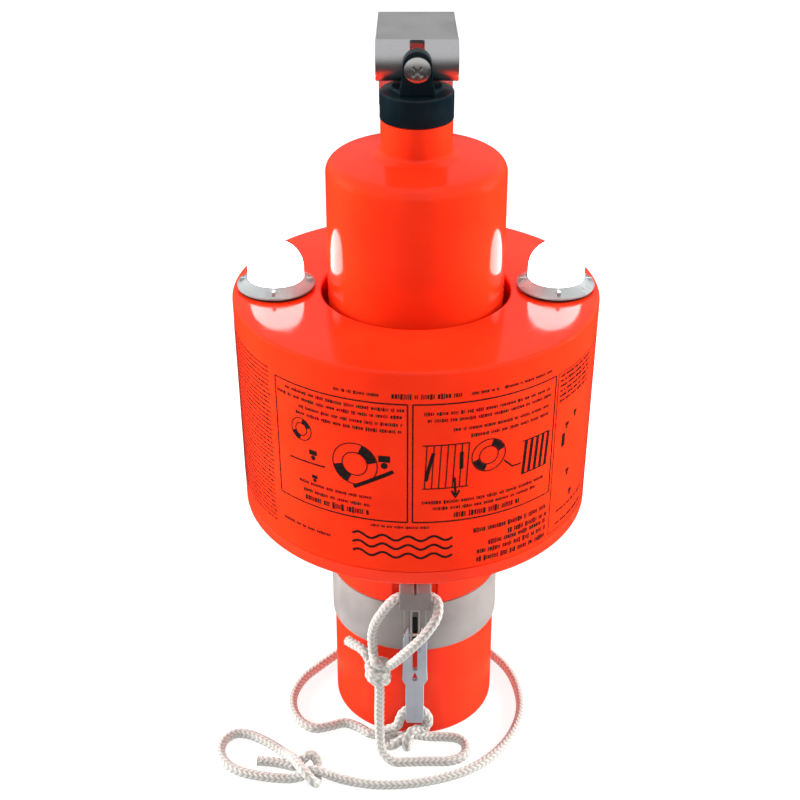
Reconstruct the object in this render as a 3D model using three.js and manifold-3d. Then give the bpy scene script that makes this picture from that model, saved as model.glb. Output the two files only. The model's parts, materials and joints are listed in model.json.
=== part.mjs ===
// Man-overboard light and smoke signal: a ring float round a smoke canister, two lamps, a battery base,
// a release lever with its lanyard, and a pull-off cap on a hanger plate.
// Millimetres, +Z up, origin at the centre of the face it stands on. The front, with the lever, faces -Y.
import * as THREE from 'three';
import { mergeVertices } from 'three/addons/utils/BufferGeometryUtils.js';
import Module from 'manifold-3d';

const kernel = await Module();
kernel.setup();

// ---- driving dimensions ----
const GAP = 0.3;                 // between pieces that touch
const SIDES = 32;                // facets of the large round pieces
const HIDDEN_SIDES = 24;         // facets of the large pieces nobody sees
const SMALL_SIDES = 18;          // facets of the small round pieces
const BORE_SIDES = 14;           // facets of pins, shanks and their holes

const TUBE_RADIUS = 48;          // canister and base cup
const TUBE_WALL = 2.5;
const JOINT_HEIGHT = 83;         // where the base cup meets the canister
const CANISTER_TOP = 351.5;
const NECK_RADIUS = 18.95;
const NECK_TOP = 373.9;
const SPIGOT_RADIUS = 16.9;      // the part of the neck inside the cap
const SPIGOT_TOP = 387;
const NECK_BORE = 13.6;

const TIN_RADIUS = 42.2;         // smoke tin inside the canister
const TIN_BOTTOM = 104;
const TIN_TOP = 340;
const TIN_WALL = 0.8;
const CHARGE_RADIUS = 41;
const CHARGE_BORE = 8;
const CHARGE_HEIGHT = 69;
const IGNITER_RADIUS = 7.8;
const IGNITER_BORE = 3.4;
const IGNITER_BOTTOM = 322;
const IGNITER_TOP = 372;
const LEAD_DIAMETER = 2;
const LEAD_HOLE = 2.6;
const LEAD_HOLE_Z = 161;         // the lamp leads pass through the canister wall here

const FLOAT_RADIUS = 100;        // at the shoulder
const FLOAT_BASE_RADIUS = 98;    // at the seam with the underside
const FLOAT_TOP = 278;
const FLOAT_SEAM = 157;
const FLOAT_BOTTOM = 147.4;
const FLOAT_WALL = 3;
const FLOAT_HOLE = 51.4;
const SHOULDER = 6;
const INNER_TUBE_END = 172;      // the float's inner tube stops above the lead passage

const COLLAR_RADIUS = 49.7;
const COLLAR_BOTTOM = 100;
const NOTCH_WIDTH = 26;
const NOTCH_TOP = 124;

const BAND_RADIUS = 49.4;
const BAND_BOTTOM = 66.5;
const BAND_TOP = 99.6;

const LAMP_OFFSET = 76.2;        // lamp axis from the centre
const FLANGE_RADIUS = 21.2;
const DOME_RADIUS = 15.2;
const DOME_BASE = 289.4;         // centre of the dome's sphere
const LAMP_HOLE = 15.3;

const CAP_RADIUS = 19.25;
const CAP_BOTTOM = 374.2;
const CAP_RIM = 387.9;
const CAP_TOP = 391.6;
const LUG_WIDTH = 13.8;
const LUG_FRONT = -14;
const LUG_BACK = -6.6;
const LUG_CENTRE = 405.7;        // centre of the lug's round end
const SCREW_HEIGHT = 403.4;
const SCREW_RADIUS = 2.9;
const HEAD_RADIUS = 6.85;

const STRIP_WIDTH = 40.6;
const CURL_WIDTH = 42.4;
const STRIP_THICKNESS = 1.6;
const CURL_RADIUS = 10.7;
const CURL_Y = 4.4;
const CURL_Z = 403.2;
const LEG_Y = 58;                // rear leg of the hanger plate
const LEG_BOTTOM = 362;

const BLOCK_WIDTH = 18.4;
const BLOCK_FRONT = -59;
const BLOCK_BACK = -49;
const BLOCK_BOTTOM = 102.6;
const BLOCK_TOP = 114.8;
const BLOCK_BORE_Z = 108.4;
const BLOCK_BORE_Y = -54.2;
const BLOCK_BORE = 3.5;

const HOUSING_BOTTOM = 74;
const HOUSING_FRONT = -58;
const HOUSING_FACE = -51.7;      // front of the housing's base plate
const CHEEK_OUTER = 2.8;
const CHEEK_INNER = 1.6;
const LEVER_BACK = -54.9;
const LEVER_FRONT = -57.9;
const LEVER_BOTTOM = 18.6;
const LEVER_TOP = 87.4;
const PIVOT_Y = -56.3;
const PIVOT_Z = 83.6;
const PIN_RADIUS = 1.2;

const ROPE_DIAMETER = 5.8;
const ROPE_SIDES = 9;

const CUP_SPIGOT = 45.1;         // base cup's upper rim, inside the canister
const CUP_SPIGOT_TOP = 95;
const CARRIER_RADIUS = 42;
const CARRIER_BOTTOM = 12;
const CARRIER_TOP = 79.6;
const CARRIER_PLATE = 2;
const CELL_RADIUS = 17;
const CELL_OFFSET = 17.4;
const CELL_BOTTOM = 15.6;
const CELL_HEIGHT = 60.4;
const CONTACT_THICKNESS = 0.8;
const BOARD_BOTTOM = 80;
const BOARD_THICKNESS = 1.6;
const SWITCH_RADIUS = 5.4;
const SWITCH_BORE = 3.7;
const SWITCH_BOTTOM = 82;
const SWITCH_TOP = 94;
const BALL_RADIUS = 3;

// ---- finishes ----
const finish = (colour, roughness, metalness = 0) =>
  new THREE.MeshStandardMaterial({ color: colour, roughness, metalness });
const ORANGE = finish(0xff4a1e, 0.18);
const BLACK_PLASTIC = finish(0x0c1c22, 0.4);
const BLACK_RUBBER = finish(0x111111, 0.8);
const STEEL = finish(0xa9a9ab, 0.3, 1);
const BRASS = finish(0xc9a44c, 0.35, 1);
const GREY_PLASTIC = finish(0x9d9793, 0.45);
const LEVER_GREY = finish(0x9da3b4, 0.4);
const LENS = finish(0xf4f7f7, 0.15);
const BOARD_GREEN = finish(0x1d6a3a, 0.5);
const DIODE = finish(0xf2e46a, 0.3);
const FOAM = finish(0xf3ead0, 0.95);
const CHARGE = finish(0xd9782d, 0.9);
const CELL_JACKET = finish(0x4c5660, 0.35, 0.4);
const ROPE = finish(0xe6e2d8, 0.9);
const WIRE_SLEEVE = finish(0xb01d1d, 0.5);

// ---- solids ----
function toSolid(geometry) {
  const bare = geometry.clone();
  bare.deleteAttribute('normal');
  bare.deleteAttribute('uv');
  const merged = mergeVertices(bare, 1e-4);
  const vertProperties = new Float32Array(merged.attributes.position.array);
  const corners = Uint32Array.from(merged.index.array);
  let volume = 0;
  const at = (i) => new THREE.Vector3().fromArray(vertProperties, 3 * i);
  for (let i = 0; i < corners.length; i += 3) {
    volume += at(corners[i]).dot(at(corners[i + 1]).cross(at(corners[i + 2])));
  }
  if (volume < 0) {
    for (let i = 0; i < corners.length; i += 3) {
      [corners[i + 1], corners[i + 2]] = [corners[i + 2], corners[i + 1]];
    }
  }
  return new kernel.Manifold(new kernel.Mesh({ numProp: 3, vertProperties, triVerts: corners }));
}

function toMesh(name, solid, material) {
  const { vertProperties, triVerts } = solid.getMesh();
  const geometry = new THREE.BufferGeometry();
  geometry.setAttribute('position', new THREE.BufferAttribute(new Float32Array(vertProperties), 3));
  geometry.setIndex(new THREE.BufferAttribute(new Uint32Array(triVerts), 1));
  geometry.computeVertexNormals();
  const mesh = new THREE.Mesh(geometry, material);
  mesh.name = name;
  return mesh;
}

// A turned solid about +Z from [radius, height] points that start and end on the axis or close on themselves.
function turned(profile, sides = SIDES) {
  const points = profile.map(([radius, height]) => new THREE.Vector2(radius, height));
  return toSolid(new THREE.LatheGeometry(points, sides).rotateX(Math.PI / 2));
}

function ring(inner, outer, bottom, top, sides = SIDES) {
  return turned([[inner, bottom], [outer, bottom], [outer, top], [inner, top], [inner, bottom]], sides);
}

function disc(radius, bottom, top, sides = SIDES) {
  return turned([[0, bottom], [radius, bottom], [radius, top], [0, top]], sides);
}

// Points of a round corner in a profile, from angle `from` to angle `to` in degrees.
function corner(radius, centreRadius, centreHeight, from, to, steps = 4) {
  return Array.from({ length: steps + 1 }, (_, i) => {
    const angle = THREE.MathUtils.degToRad(from + ((to - from) * i) / steps);
    return [centreRadius + radius * Math.cos(angle), centreHeight + radius * Math.sin(angle)];
  });
}

function block(x, y, z) {
  const [width, depth, height] = [x[1] - x[0], y[1] - y[0], z[1] - z[0]];
  const geometry = new THREE.BoxGeometry(width, depth, height);
  return toSolid(geometry.translate((x[0] + x[1]) / 2, (y[0] + y[1]) / 2, (z[0] + z[1]) / 2));
}

// A rod along +Z, turned so that it runs along `axis`, starting at `start`.
function rod(radius, length, start, axis, sides = SMALL_SIDES) {
  const up = new THREE.Vector3(0, 0, 1);
  const turn = new THREE.Quaternion().setFromUnitVectors(up, new THREE.Vector3(...axis));
  const geometry = new THREE.CylinderGeometry(radius, radius, length, sides).rotateX(Math.PI / 2);
  geometry.translate(0, 0, length / 2).applyQuaternion(turn).translate(...start);
  return toSolid(geometry);
}

// An outline in X and Z, from [x, z] points, pushed from y0 to y1.
function plate(outline, y0, y1, holes = []) {
  const shape = new THREE.Shape(outline.map(([x, z]) => new THREE.Vector2(x, z)));
  shape.holes = holes.map((hole) => new THREE.Path(hole.map(([x, z]) => new THREE.Vector2(x, z))));
  const geometry = new THREE.ExtrudeGeometry(shape, { depth: y1 - y0, bevelEnabled: false });
  return toSolid(geometry.rotateX(Math.PI / 2).translate(0, y1, 0));
}

// An outline in Y and Z, from [y, z] points, pushed to `width` about the YZ plane.
function strip(outline, width) {
  const shape = new THREE.Shape(outline.map(([y, z]) => new THREE.Vector2(y, z)));
  const geometry = new THREE.ExtrudeGeometry(shape, { depth: width, bevelEnabled: false });
  const axes = new THREE.Matrix4().makeBasis(
    new THREE.Vector3(0, 1, 0), new THREE.Vector3(0, 0, 1), new THREE.Vector3(1, 0, 0));
  return toSolid(geometry.applyMatrix4(axes).translate(-width / 2, 0, 0));
}

function roundPoints(radius, x, z, sides = 12) {
  return Array.from({ length: sides }, (_, i) => {
    const angle = (2 * Math.PI * i) / sides;
    return [x + radius * Math.cos(angle), z + radius * Math.sin(angle)];
  });
}

// A round tube along a smooth route through hand-set points.
function cord(points, diameter, steps, sides) {
  const corners = points.map((point) => new THREE.Vector3(...point));
  const route = new THREE.CatmullRomCurve3(corners, false, 'centripetal');
  const rim = roundPoints(diameter / 2, 0, 0, sides).map(([x, y]) => new THREE.Vector2(x, y));
  const section = new THREE.Shape(rim);
  return toSolid(new THREE.ExtrudeGeometry(section, { steps, bevelEnabled: false, extrudePath: route }));
}

const signal = new THREE.Group();

function add(name, solid, material, parent = signal) {
  const mesh = toMesh(name, solid, material);
  parent.add(mesh);
  return mesh;
}

// ---- canister ----
function canisterShell() {
  const inner = TUBE_RADIUS - TUBE_WALL;
  const shoulder = 7;
  const neckFoot = [[4, 3.4], [1.2, 4.6], [0, 7.4]];     // out from the neck, up from the shoulder
  const innerShoulder = [[6, 4], [0, 9]];                // in from the wall, down from the shoulder
  const outside = [
    [TUBE_RADIUS, JOINT_HEIGHT + GAP],
    ...corner(shoulder, TUBE_RADIUS - shoulder, CANISTER_TOP - shoulder, 0, 90),
    ...neckFoot.map(([out, up]) => [NECK_RADIUS + out, CANISTER_TOP + up]),
    [NECK_RADIUS, NECK_TOP],
    [SPIGOT_RADIUS, NECK_TOP],
    [SPIGOT_RADIUS, SPIGOT_TOP],
  ];
  const inside = [
    [NECK_BORE, SPIGOT_TOP],
    [NECK_BORE, CANISTER_TOP],
    ...innerShoulder.map(([inwards, down]) => [inner - inwards, CANISTER_TOP - down]),
    [inner, JOINT_HEIGHT + GAP],
  ];
  const shell = turned([...outside, ...inside, outside[0]]);
  const reach = TUBE_RADIUS + 2;
  return shell.subtract(rod(LEAD_HOLE, 2 * reach, [-reach, 0, LEAD_HOLE_Z], [1, 0, 0], BORE_SIDES));
}

function smokeTin() {
  const inner = TIN_RADIUS - TIN_WALL;
  const floor = TIN_BOTTOM + TIN_WALL;
  return turned([
    [0, TIN_BOTTOM], [TIN_RADIUS, TIN_BOTTOM], [TIN_RADIUS, TIN_TOP], [inner, TIN_TOP], [inner, floor],
    [0, floor],
  ], HIDDEN_SIDES);
}

// Cuts `count` upright holes, evenly spaced on a circle.
function drilled(solid, count, circle, hole, turn, bottom, top) {
  return Array.from({ length: count }, (_, i) => (2 * Math.PI * i) / count + turn).reduce((rest, angle) => {
    const start = [circle * Math.cos(angle), circle * Math.sin(angle), bottom];
    return rest.subtract(rod(hole, top - bottom, start, [0, 0, 1], 8));
  }, solid);
}

function smokeTinLid() {
  const bottom = TIN_TOP - 1.6;
  const top = TIN_TOP + 1;
  const lid = ring(CHARGE_BORE + 0.6, CHARGE_RADIUS, bottom, top, HIDDEN_SIDES);
  return drilled(lid, 6, 24, 4, 0, bottom - 1, top + 1);
}

function igniterTube() {
  const floor = IGNITER_TOP - 32;
  return turned([
    [0, IGNITER_BOTTOM], [IGNITER_RADIUS, IGNITER_BOTTOM], [IGNITER_RADIUS, IGNITER_TOP],
    [IGNITER_BORE, IGNITER_TOP], [IGNITER_BORE, floor], [0, floor],
  ], SMALL_SIDES);
}

// A ring in the neck that carries the igniter and leaves six smoke ports round it.
function outletGrid() {
  const bottom = 362;
  const top = 366;
  const inner = IGNITER_RADIUS + GAP;
  const outer = NECK_BORE - GAP;
  const grid = ring(inner, outer, bottom, top, HIDDEN_SIDES);
  return drilled(grid, 6, (inner + outer) / 2, 2, Math.PI / 6, bottom - 1, top + 1);
}

// The wire hangs from the cap; the friction head on its end is drawn up through the igniter tube.
function strikerWire() {
  const wire = 0.8;
  const head = 2.4;
  const bottom = 345;
  const top = SPIGOT_TOP + 1.5;
  return turned([
    [0, bottom], [2, bottom], [head, bottom + 2], [2, bottom + 4], [wire, bottom + 5], [wire, top], [0, top],
  ], 8);
}

function bulkhead() {
  const bottom = 97.5;
  const top = 100.5;
  const leadNotch = (x0, x1) => block([x0, x1], [-2.5, 2.5], [bottom - 1, top + 1]);
  const plain = disc(TUBE_RADIUS - 3, bottom, top, HIDDEN_SIDES);
  return plain.subtract(leadNotch(38, 50)).subtract(leadNotch(-50, -38));
}

function addCanister() {
  const firstCharge = TIN_BOTTOM + TIN_WALL + 0.4;
  add('smoke_canister', canisterShell(), ORANGE);
  add('smoke_tin', smokeTin(), STEEL);
  add('smoke_tin_lid', smokeTinLid(), STEEL);
  for (let i = 0; i < 3; i += 1) {
    const bottom = firstCharge + i * (CHARGE_HEIGHT + 0.4);
    const charge = ring(CHARGE_BORE, CHARGE_RADIUS, bottom, bottom + CHARGE_HEIGHT, HIDDEN_SIDES);
    add(`smoke_charge_${i + 1}`, charge, CHARGE);
  }
  add('igniter_tube', igniterTube(), BRASS);
  add('delay_column', disc(CHARGE_BORE - 1, IGNITER_BOTTOM - 7.8, IGNITER_BOTTOM - 0.4, 12), CHARGE);
  add('outlet_grid', outletGrid(), STEEL);
  add('bulkhead', bulkhead(), STEEL);
}

// ---- float ----
function floatShell() {
  const edge = 1.6;
  const top = FLOAT_TOP - FLOAT_WALL;
  const innerShoulder = 3.4;
  const outside = [
    [FLOAT_BASE_RADIUS, FLOAT_SEAM + GAP],
    ...corner(SHOULDER, FLOAT_RADIUS - SHOULDER, FLOAT_TOP - SHOULDER, 0, 90),
    [FLOAT_HOLE + edge, FLOAT_TOP],
    [FLOAT_HOLE, FLOAT_TOP - edge],
    [FLOAT_HOLE, INNER_TUBE_END],
  ];
  const inside = [
    [FLOAT_HOLE + FLOAT_WALL, INNER_TUBE_END],
    [FLOAT_HOLE + FLOAT_WALL, top],
    ...corner(innerShoulder, FLOAT_RADIUS - SHOULDER, top - innerShoulder, 90, 0, 2),
    [FLOAT_BASE_RADIUS - FLOAT_WALL, FLOAT_SEAM + GAP],
  ];
  let shell = turned([...outside, ...inside, outside[0]]);
  for (const side of [-1, 1]) {
    shell = shell.subtract(rod(LAMP_HOLE, FLOAT_WALL + 5, [side * LAMP_OFFSET, 0, top - 2], [0, 0, 1]));
  }
  return shell;
}

// Closes the float from below and grips the canister with its collar, which is notched for the rope block.
function floatUnderside() {
  const fillet = 9;
  const hollow = 11;                                     // round corner between collar and underside
  const lip = FLOAT_BASE_RADIUS - FLOAT_WALL - GAP;      // stands up inside the shell
  const lipWall = 2.4;
  const lipTop = FLOAT_SEAM + 5;
  const floor = FLOAT_BOTTOM + FLOAT_WALL;
  const bore = TUBE_RADIUS + GAP;
  const profile = [
    [bore, COLLAR_BOTTOM],
    [COLLAR_RADIUS, COLLAR_BOTTOM],
    ...corner(hollow, COLLAR_RADIUS + hollow, FLOAT_BOTTOM - hollow, 180, 90, 3),
    ...corner(fillet, FLOAT_BASE_RADIUS - fillet, FLOAT_BOTTOM + fillet, -90, 0),
    [FLOAT_BASE_RADIUS, FLOAT_SEAM],
    [lip, FLOAT_SEAM],
    [lip, lipTop],
    [lip - lipWall, lipTop],
    [lip - lipWall, floor + 3],
    [lip - 6, floor],
    [bore, floor],
  ];
  const depth = [-COLLAR_RADIUS - 9, -TUBE_RADIUS + 4];
  const notch = block([-NOTCH_WIDTH / 2, NOTCH_WIDTH / 2], depth, [COLLAR_BOTTOM - 1, NOTCH_TOP]);
  return turned([...profile, profile[0]]).subtract(notch);
}

// Fills the float, with room for each lamp's locknut and a slot for its lead.
function floatFoam() {
  const outer = FLOAT_BASE_RADIUS - FLOAT_WALL - 3.4;
  const inner = FLOAT_HOLE + FLOAT_WALL + 0.5;
  const bottom = 166;
  const top = FLOAT_TOP - FLOAT_WALL - 0.8;
  const lampRoom = 259;
  let foam = turned([
    [inner, bottom], [outer - 2, bottom], [outer, bottom + 9], [outer + 2, top - 6], [outer, top],
    [inner, top], [inner, bottom],
  ], HIDDEN_SIDES);
  for (const side of [-1, 1]) {
    const slot = block([side < 0 ? -80 : 0, side < 0 ? 0 : 80], [-2.2, 2.2], [bottom - 6, lampRoom + 3]);
    foam = foam.subtract(rod(19.4, 20, [side * LAMP_OFFSET, 0, lampRoom], [0, 0, 1])).subtract(slot);
  }
  return foam;
}

function addFloat() {
  add('float_shell', floatShell(), ORANGE);
  add('float_underside', floatUnderside(), ORANGE);
  add('float_foam', floatFoam(), FOAM);
}

// ---- lamps ----
// A dome on a sloping flange with four ribs, over a tail that goes down through the float's top.
function lampLens() {
  const tail = LAMP_HOLE - 0.5;
  const tailEnd = 262;
  const hollowRadius = DOME_RADIUS - 2;
  const under = FLOAT_TOP + 1.5;
  const dome = corner(DOME_RADIUS, 0, DOME_BASE, 0, 90, 6);
  const hollow = corner(hollowRadius, 0, DOME_BASE, 90, 0, 5);
  dome[dome.length - 1][0] = 0;
  hollow[0][0] = 0;
  const body = turned([
    [tail, tailEnd], [tail, under], [FLANGE_RADIUS, under], [FLANGE_RADIUS, under + 1],
    [DOME_RADIUS + 1, under + 3.9], [DOME_RADIUS, under + 4.9], ...dome, ...hollow, [hollowRadius, tailEnd],
    [tail, tailEnd],
  ], SMALL_SIDES);
  const rib = block([DOME_RADIUS - 1, FLANGE_RADIUS - 1.4], [-1, 1], [under + 0.6, under + 4.1]);
  return [0, 90, 180, 270].reduce((solid, angle) => solid.add(rib.rotate([0, 0, angle])), body);
}

function lampLead(side) {
  const distanceAndHeight = [
    [LAMP_OFFSET, 277.6], [LAMP_OFFSET, 262], [75.2, 240], [70.2, 205], [64.2, 180], [60, 166], [55, 162.4],
    [50, 162], [46.4, 161.4], [44.2, 158], [43.9, 150], [43.9, 130], [43.9, 110], [43.8, 104], [42.4, 100],
    [40, 97], [38.6, 92], [36, 87], [32, 84.2],
  ];
  const route = distanceAndHeight.map(([distance, height]) => [side * distance, 0, height]);
  return cord(route, LEAD_DIAMETER, 24, 6);
}

function lampLocknut() {
  const bottom = 264;
  const top = 272;
  const hole = rod(LAMP_HOLE - 0.2, top - bottom + 2, [0, 0, bottom - 1], [0, 0, 1]);
  return disc(18.9, bottom, top, 6).subtract(hole);
}

function addLamp(name, side) {
  const boardBottom = FLOAT_TOP;
  const boardTop = boardBottom + BOARD_THICKNESS;
  const lamp = new THREE.Group();
  lamp.position.set(side * LAMP_OFFSET, 0, 0);
  signal.add(lamp);
  add(`lamp_lens_${name}`, lampLens(), LENS, lamp);
  const gasket = ring(LAMP_HOLE + 0.1, FLANGE_RADIUS - 0.4, FLOAT_TOP + 0.2, FLOAT_TOP + 1.2, SMALL_SIDES);
  add(`lamp_gasket_${name}`, gasket, BLACK_RUBBER, lamp);
  add(`lamp_locknut_${name}`, lampLocknut(), GREY_PLASTIC, lamp);
  add(`lamp_board_${name}`, disc(DOME_RADIUS - 2.5, boardBottom, boardTop, SMALL_SIDES), BOARD_GREEN, lamp);
  add(`lamp_diode_${name}`, block([-3, 3], [-3, 3], [boardTop + GAP, boardTop + 2.6]), DIODE, lamp);
  add(`lamp_lead_${name}`, lampLead(side), WIRE_SLEEVE);
}

// ---- base ----
// The cup's spigot goes up inside the canister and has a groove for the joint's O-ring.
function baseCup() {
  const inner = TUBE_RADIUS - TUBE_WALL;
  const edge = 4;
  const floor = 3;
  const spigotBore = CUP_SPIGOT - TUBE_WALL;
  const groove = [JOINT_HEIGHT + 4.4, JOINT_HEIGHT + 6];
  const grooveRadius = CUP_SPIGOT - 1.2;
  return turned([
    [0, 0],
    ...corner(edge, TUBE_RADIUS - edge, edge, -90, 0, 3),
    [TUBE_RADIUS, JOINT_HEIGHT], [CUP_SPIGOT, JOINT_HEIGHT], [CUP_SPIGOT, groove[0]],
    [grooveRadius, groove[0]], [grooveRadius, groove[1]], [CUP_SPIGOT, groove[1]],
    [CUP_SPIGOT, CUP_SPIGOT_TOP], [spigotBore, CUP_SPIGOT_TOP], [spigotBore, JOINT_HEIGHT - 3],
    [inner, JOINT_HEIGHT - 6], [inner, floor + 2], [inner - 2, floor], [0, floor],
  ]);
}

function jointRing() {
  const bottom = JOINT_HEIGHT + 4.7;
  return ring(CUP_SPIGOT - 0.9, CUP_SPIGOT + 0.1, bottom, bottom + 1);
}

// A spool between whose end discs the four cells stand.
function cellCarrier() {
  const stem = 6.4;
  const lower = CARRIER_BOTTOM + CARRIER_PLATE;
  const upper = CARRIER_TOP - CARRIER_PLATE;
  return turned([
    [0, CARRIER_BOTTOM], [CARRIER_RADIUS, CARRIER_BOTTOM], [CARRIER_RADIUS, lower], [stem, lower],
    [stem, upper], [CARRIER_RADIUS, upper], [CARRIER_RADIUS, CARRIER_TOP], [0, CARRIER_TOP],
  ], HIDDEN_SIDES);
}

function contactPlate(bottom) {
  return ring(7, CARRIER_RADIUS - 0.4, bottom, bottom + CONTACT_THICKNESS, HIDDEN_SIDES);
}

function cell() {
  const top = CELL_BOTTOM + CELL_HEIGHT;
  const button = 4.8;
  const buttonHeight = 1.6;
  return turned([
    [0, CELL_BOTTOM], [CELL_RADIUS, CELL_BOTTOM], [CELL_RADIUS, top - buttonHeight],
    [button, top - buttonHeight], [button, top], [0, top],
  ], SMALL_SIDES);
}

function tiltSwitchTube() {
  const floor = SWITCH_BOTTOM + 1.2;
  return turned([
    [0, SWITCH_BOTTOM], [SWITCH_RADIUS, SWITCH_BOTTOM], [SWITCH_RADIUS, SWITCH_TOP],
    [SWITCH_BORE, SWITCH_TOP], [SWITCH_BORE, floor], [0, floor],
  ], SMALL_SIDES);
}

function addBase() {
  const boardTop = BOARD_BOTTOM + BOARD_THICKNESS;
  add('base_cup', baseCup(), ORANGE);
  add('joint_o_ring', jointRing(), BLACK_RUBBER);
  add('ballast_disc', disc(CARRIER_RADIUS, 3.4, CARRIER_BOTTOM - 0.4, HIDDEN_SIDES), STEEL);
  add('cell_carrier', cellCarrier(), GREY_PLASTIC);
  add('contact_plate_lower', contactPlate(CELL_BOTTOM - 0.4 - CONTACT_THICKNESS), BRASS);
  add('contact_plate_upper', contactPlate(CELL_BOTTOM + CELL_HEIGHT + 0.4), BRASS);
  for (let i = 0; i < 4; i += 1) {
    const mesh = add(`battery_cell_${i + 1}`, cell(), CELL_JACKET);
    mesh.position.set(i % 2 ? CELL_OFFSET : -CELL_OFFSET, i < 2 ? -CELL_OFFSET : CELL_OFFSET, 0);
  }
  add('driver_board', block([-24, 24], [-20, 20], [BOARD_BOTTOM, boardTop]), BOARD_GREEN);
  add('tilt_switch_tube', tiltSwitchTube(), STEEL);
  add('tilt_switch_cap', disc(SWITCH_RADIUS, SWITCH_TOP + GAP, SWITCH_TOP + 1.6, SMALL_SIDES), BLACK_PLASTIC);
  const ballHeight = SWITCH_BOTTOM + 1.6 + BALL_RADIUS;
  const ball = toSolid(new THREE.IcosahedronGeometry(BALL_RADIUS, 1).translate(0, 0, ballHeight));
  add('tilt_switch_ball', ball, BRASS);
}

// ---- clamp band and release lever ----
// Holds the rope in its cross bore; a V notch marks the middle of its top edge.
function ropeBlock() {
  const half = BLOCK_WIDTH / 2;
  const notch = 1.3;
  const chamfer = 0.8;
  const outline = [
    [-half, BLOCK_BOTTOM], [half, BLOCK_BOTTOM], [half, BLOCK_TOP - chamfer], [half - chamfer, BLOCK_TOP],
    [notch, BLOCK_TOP], [0, BLOCK_TOP - notch], [-notch, BLOCK_TOP], [-half + chamfer, BLOCK_TOP],
    [-half, BLOCK_TOP - chamfer],
  ];
  const reach = half + 2;
  const bore = rod(BLOCK_BORE, 2 * reach, [-reach, BLOCK_BORE_Y, BLOCK_BORE_Z], [1, 0, 0], BORE_SIDES);
  return plate(outline, BLOCK_FRONT, BLOCK_BACK).subtract(bore);
}

function pivotHole() {
  const reach = 10;
  return rod(PIN_RADIUS + GAP, 2 * reach, [-reach, PIVOT_Y, PIVOT_Z], [1, 0, 0], BORE_SIDES);
}

// Two cheeks on a base plate, joined at the top, with the slot between them.
function leverHousing() {
  const top = BLOCK_BOTTOM - GAP;
  const depth = [HOUSING_FRONT, HOUSING_FACE + 0.5];
  const base = block([-6.4, 6.4], [HOUSING_FACE, -BAND_RADIUS - GAP], [HOUSING_BOTTOM - 6, top]);
  const left = block([-CHEEK_OUTER, -CHEEK_INNER], depth, [HOUSING_BOTTOM, top]);
  const right = block([CHEEK_INNER, CHEEK_OUTER], depth, [HOUSING_BOTTOM, top]);
  const bridge = block([-CHEEK_OUTER, CHEEK_OUTER], depth, [top - 1.4, top]);
  return base.add(left).add(right).add(bridge).subtract(pivotHole());
}

// Half of an outline from [x, z] points in order from bottom to top, completed by its mirror image.
function mirrored(half) {
  return [...half, ...half.map(([x, z]) => [-x, z]).reverse()];
}

// A fork over the cheeks, a shoulder, and a narrow tail; slotted below the fork, with a drop-shaped hole.
function releaseLever() {
  const outer = [
    [4.3, LEVER_BOTTOM], [5.3, LEVER_BOTTOM + 1.2], [5.4, 47.4], [7.4, 50.6], [7.5, 52.5], [7.1, 60], [7, 81],
    [4.4, LEVER_TOP], [3.2, LEVER_TOP],
  ];
  const fork = [[3.2, 72.6], [1.4, 71], [1.4, 58.2]];
  const drop = mirrored([[0.9, 50.7], [1.5, 52], [1.3, 53.6], [0.4, 56]]);
  return plate(mirrored([...outer, ...fork]), LEVER_FRONT, LEVER_BACK, [drop]).subtract(pivotHole());
}

// A bowed leaf between the cheeks: its ends rest on the base plate and its crest steadies the pin.
function pinSpring() {
  const thickness = 0.6;
  const foot = HOUSING_FACE - GAP;
  const crest = PIVOT_Y + PIN_RADIUS + GAP;
  const bottom = PIVOT_Z - 9;
  const top = PIVOT_Z + 9;
  return strip([
    [foot, bottom], [foot - thickness, bottom], [crest, PIVOT_Z], [foot - thickness, top], [foot, top],
    [crest + thickness, PIVOT_Z],
  ], 2 * CHEEK_INNER - 0.8);
}

function addRelease() {
  const pinReach = 6.8;
  const pin = rod(PIN_RADIUS, 2 * pinReach, [-pinReach, PIVOT_Y, PIVOT_Z], [1, 0, 0], BORE_SIDES);
  add('clamp_band', ring(TUBE_RADIUS + GAP, BAND_RADIUS, BAND_BOTTOM, BAND_TOP), GREY_PLASTIC);
  add('rope_block', ropeBlock(), GREY_PLASTIC);
  add('lever_housing', leverHousing(), GREY_PLASTIC);
  add('lever_pin', pin, STEEL);
  add('lever_spring', pinSpring(), STEEL);
  add('release_lever', releaseLever(), LEVER_GREY);
}

// ---- cap and hanger ----
// A round cap that pulls off the spigot, with an arched lug for the hanger's screw.
function capBody() {
  const skirt = SPIGOT_RADIUS + 0.35;
  const ceiling = SPIGOT_TOP + 1.8;
  const boss = 13;
  const body = turned([
    [skirt, CAP_BOTTOM], [CAP_RADIUS, CAP_BOTTOM], [CAP_RADIUS, CAP_RIM], [CAP_RADIUS - 0.9, CAP_RIM + 1.2],
    [boss + 0.4, CAP_RIM + 2], [boss, CAP_TOP], [0, CAP_TOP], [0, ceiling], [skirt, ceiling],
    [skirt, CAP_BOTTOM],
  ]);
  const half = LUG_WIDTH / 2;
  const arch = roundPoints(half, 0, LUG_CENTRE, 20).filter(([, z]) => z >= LUG_CENTRE - 0.01);
  const outline = [
    [-half - 3.4, CAP_TOP - 2], [half + 3.4, CAP_TOP - 2], [half + 0.8, CAP_TOP + 3.6], ...arch,
    [-half - 0.8, CAP_TOP + 3.6],
  ];
  const bore = rod(SCREW_RADIUS + GAP, 12, [0, LUG_FRONT - 2, SCREW_HEIGHT], [0, 1, 0], BORE_SIDES);
  return body.add(plate(outline, LUG_FRONT, LUG_BACK)).subtract(bore);
}

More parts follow.
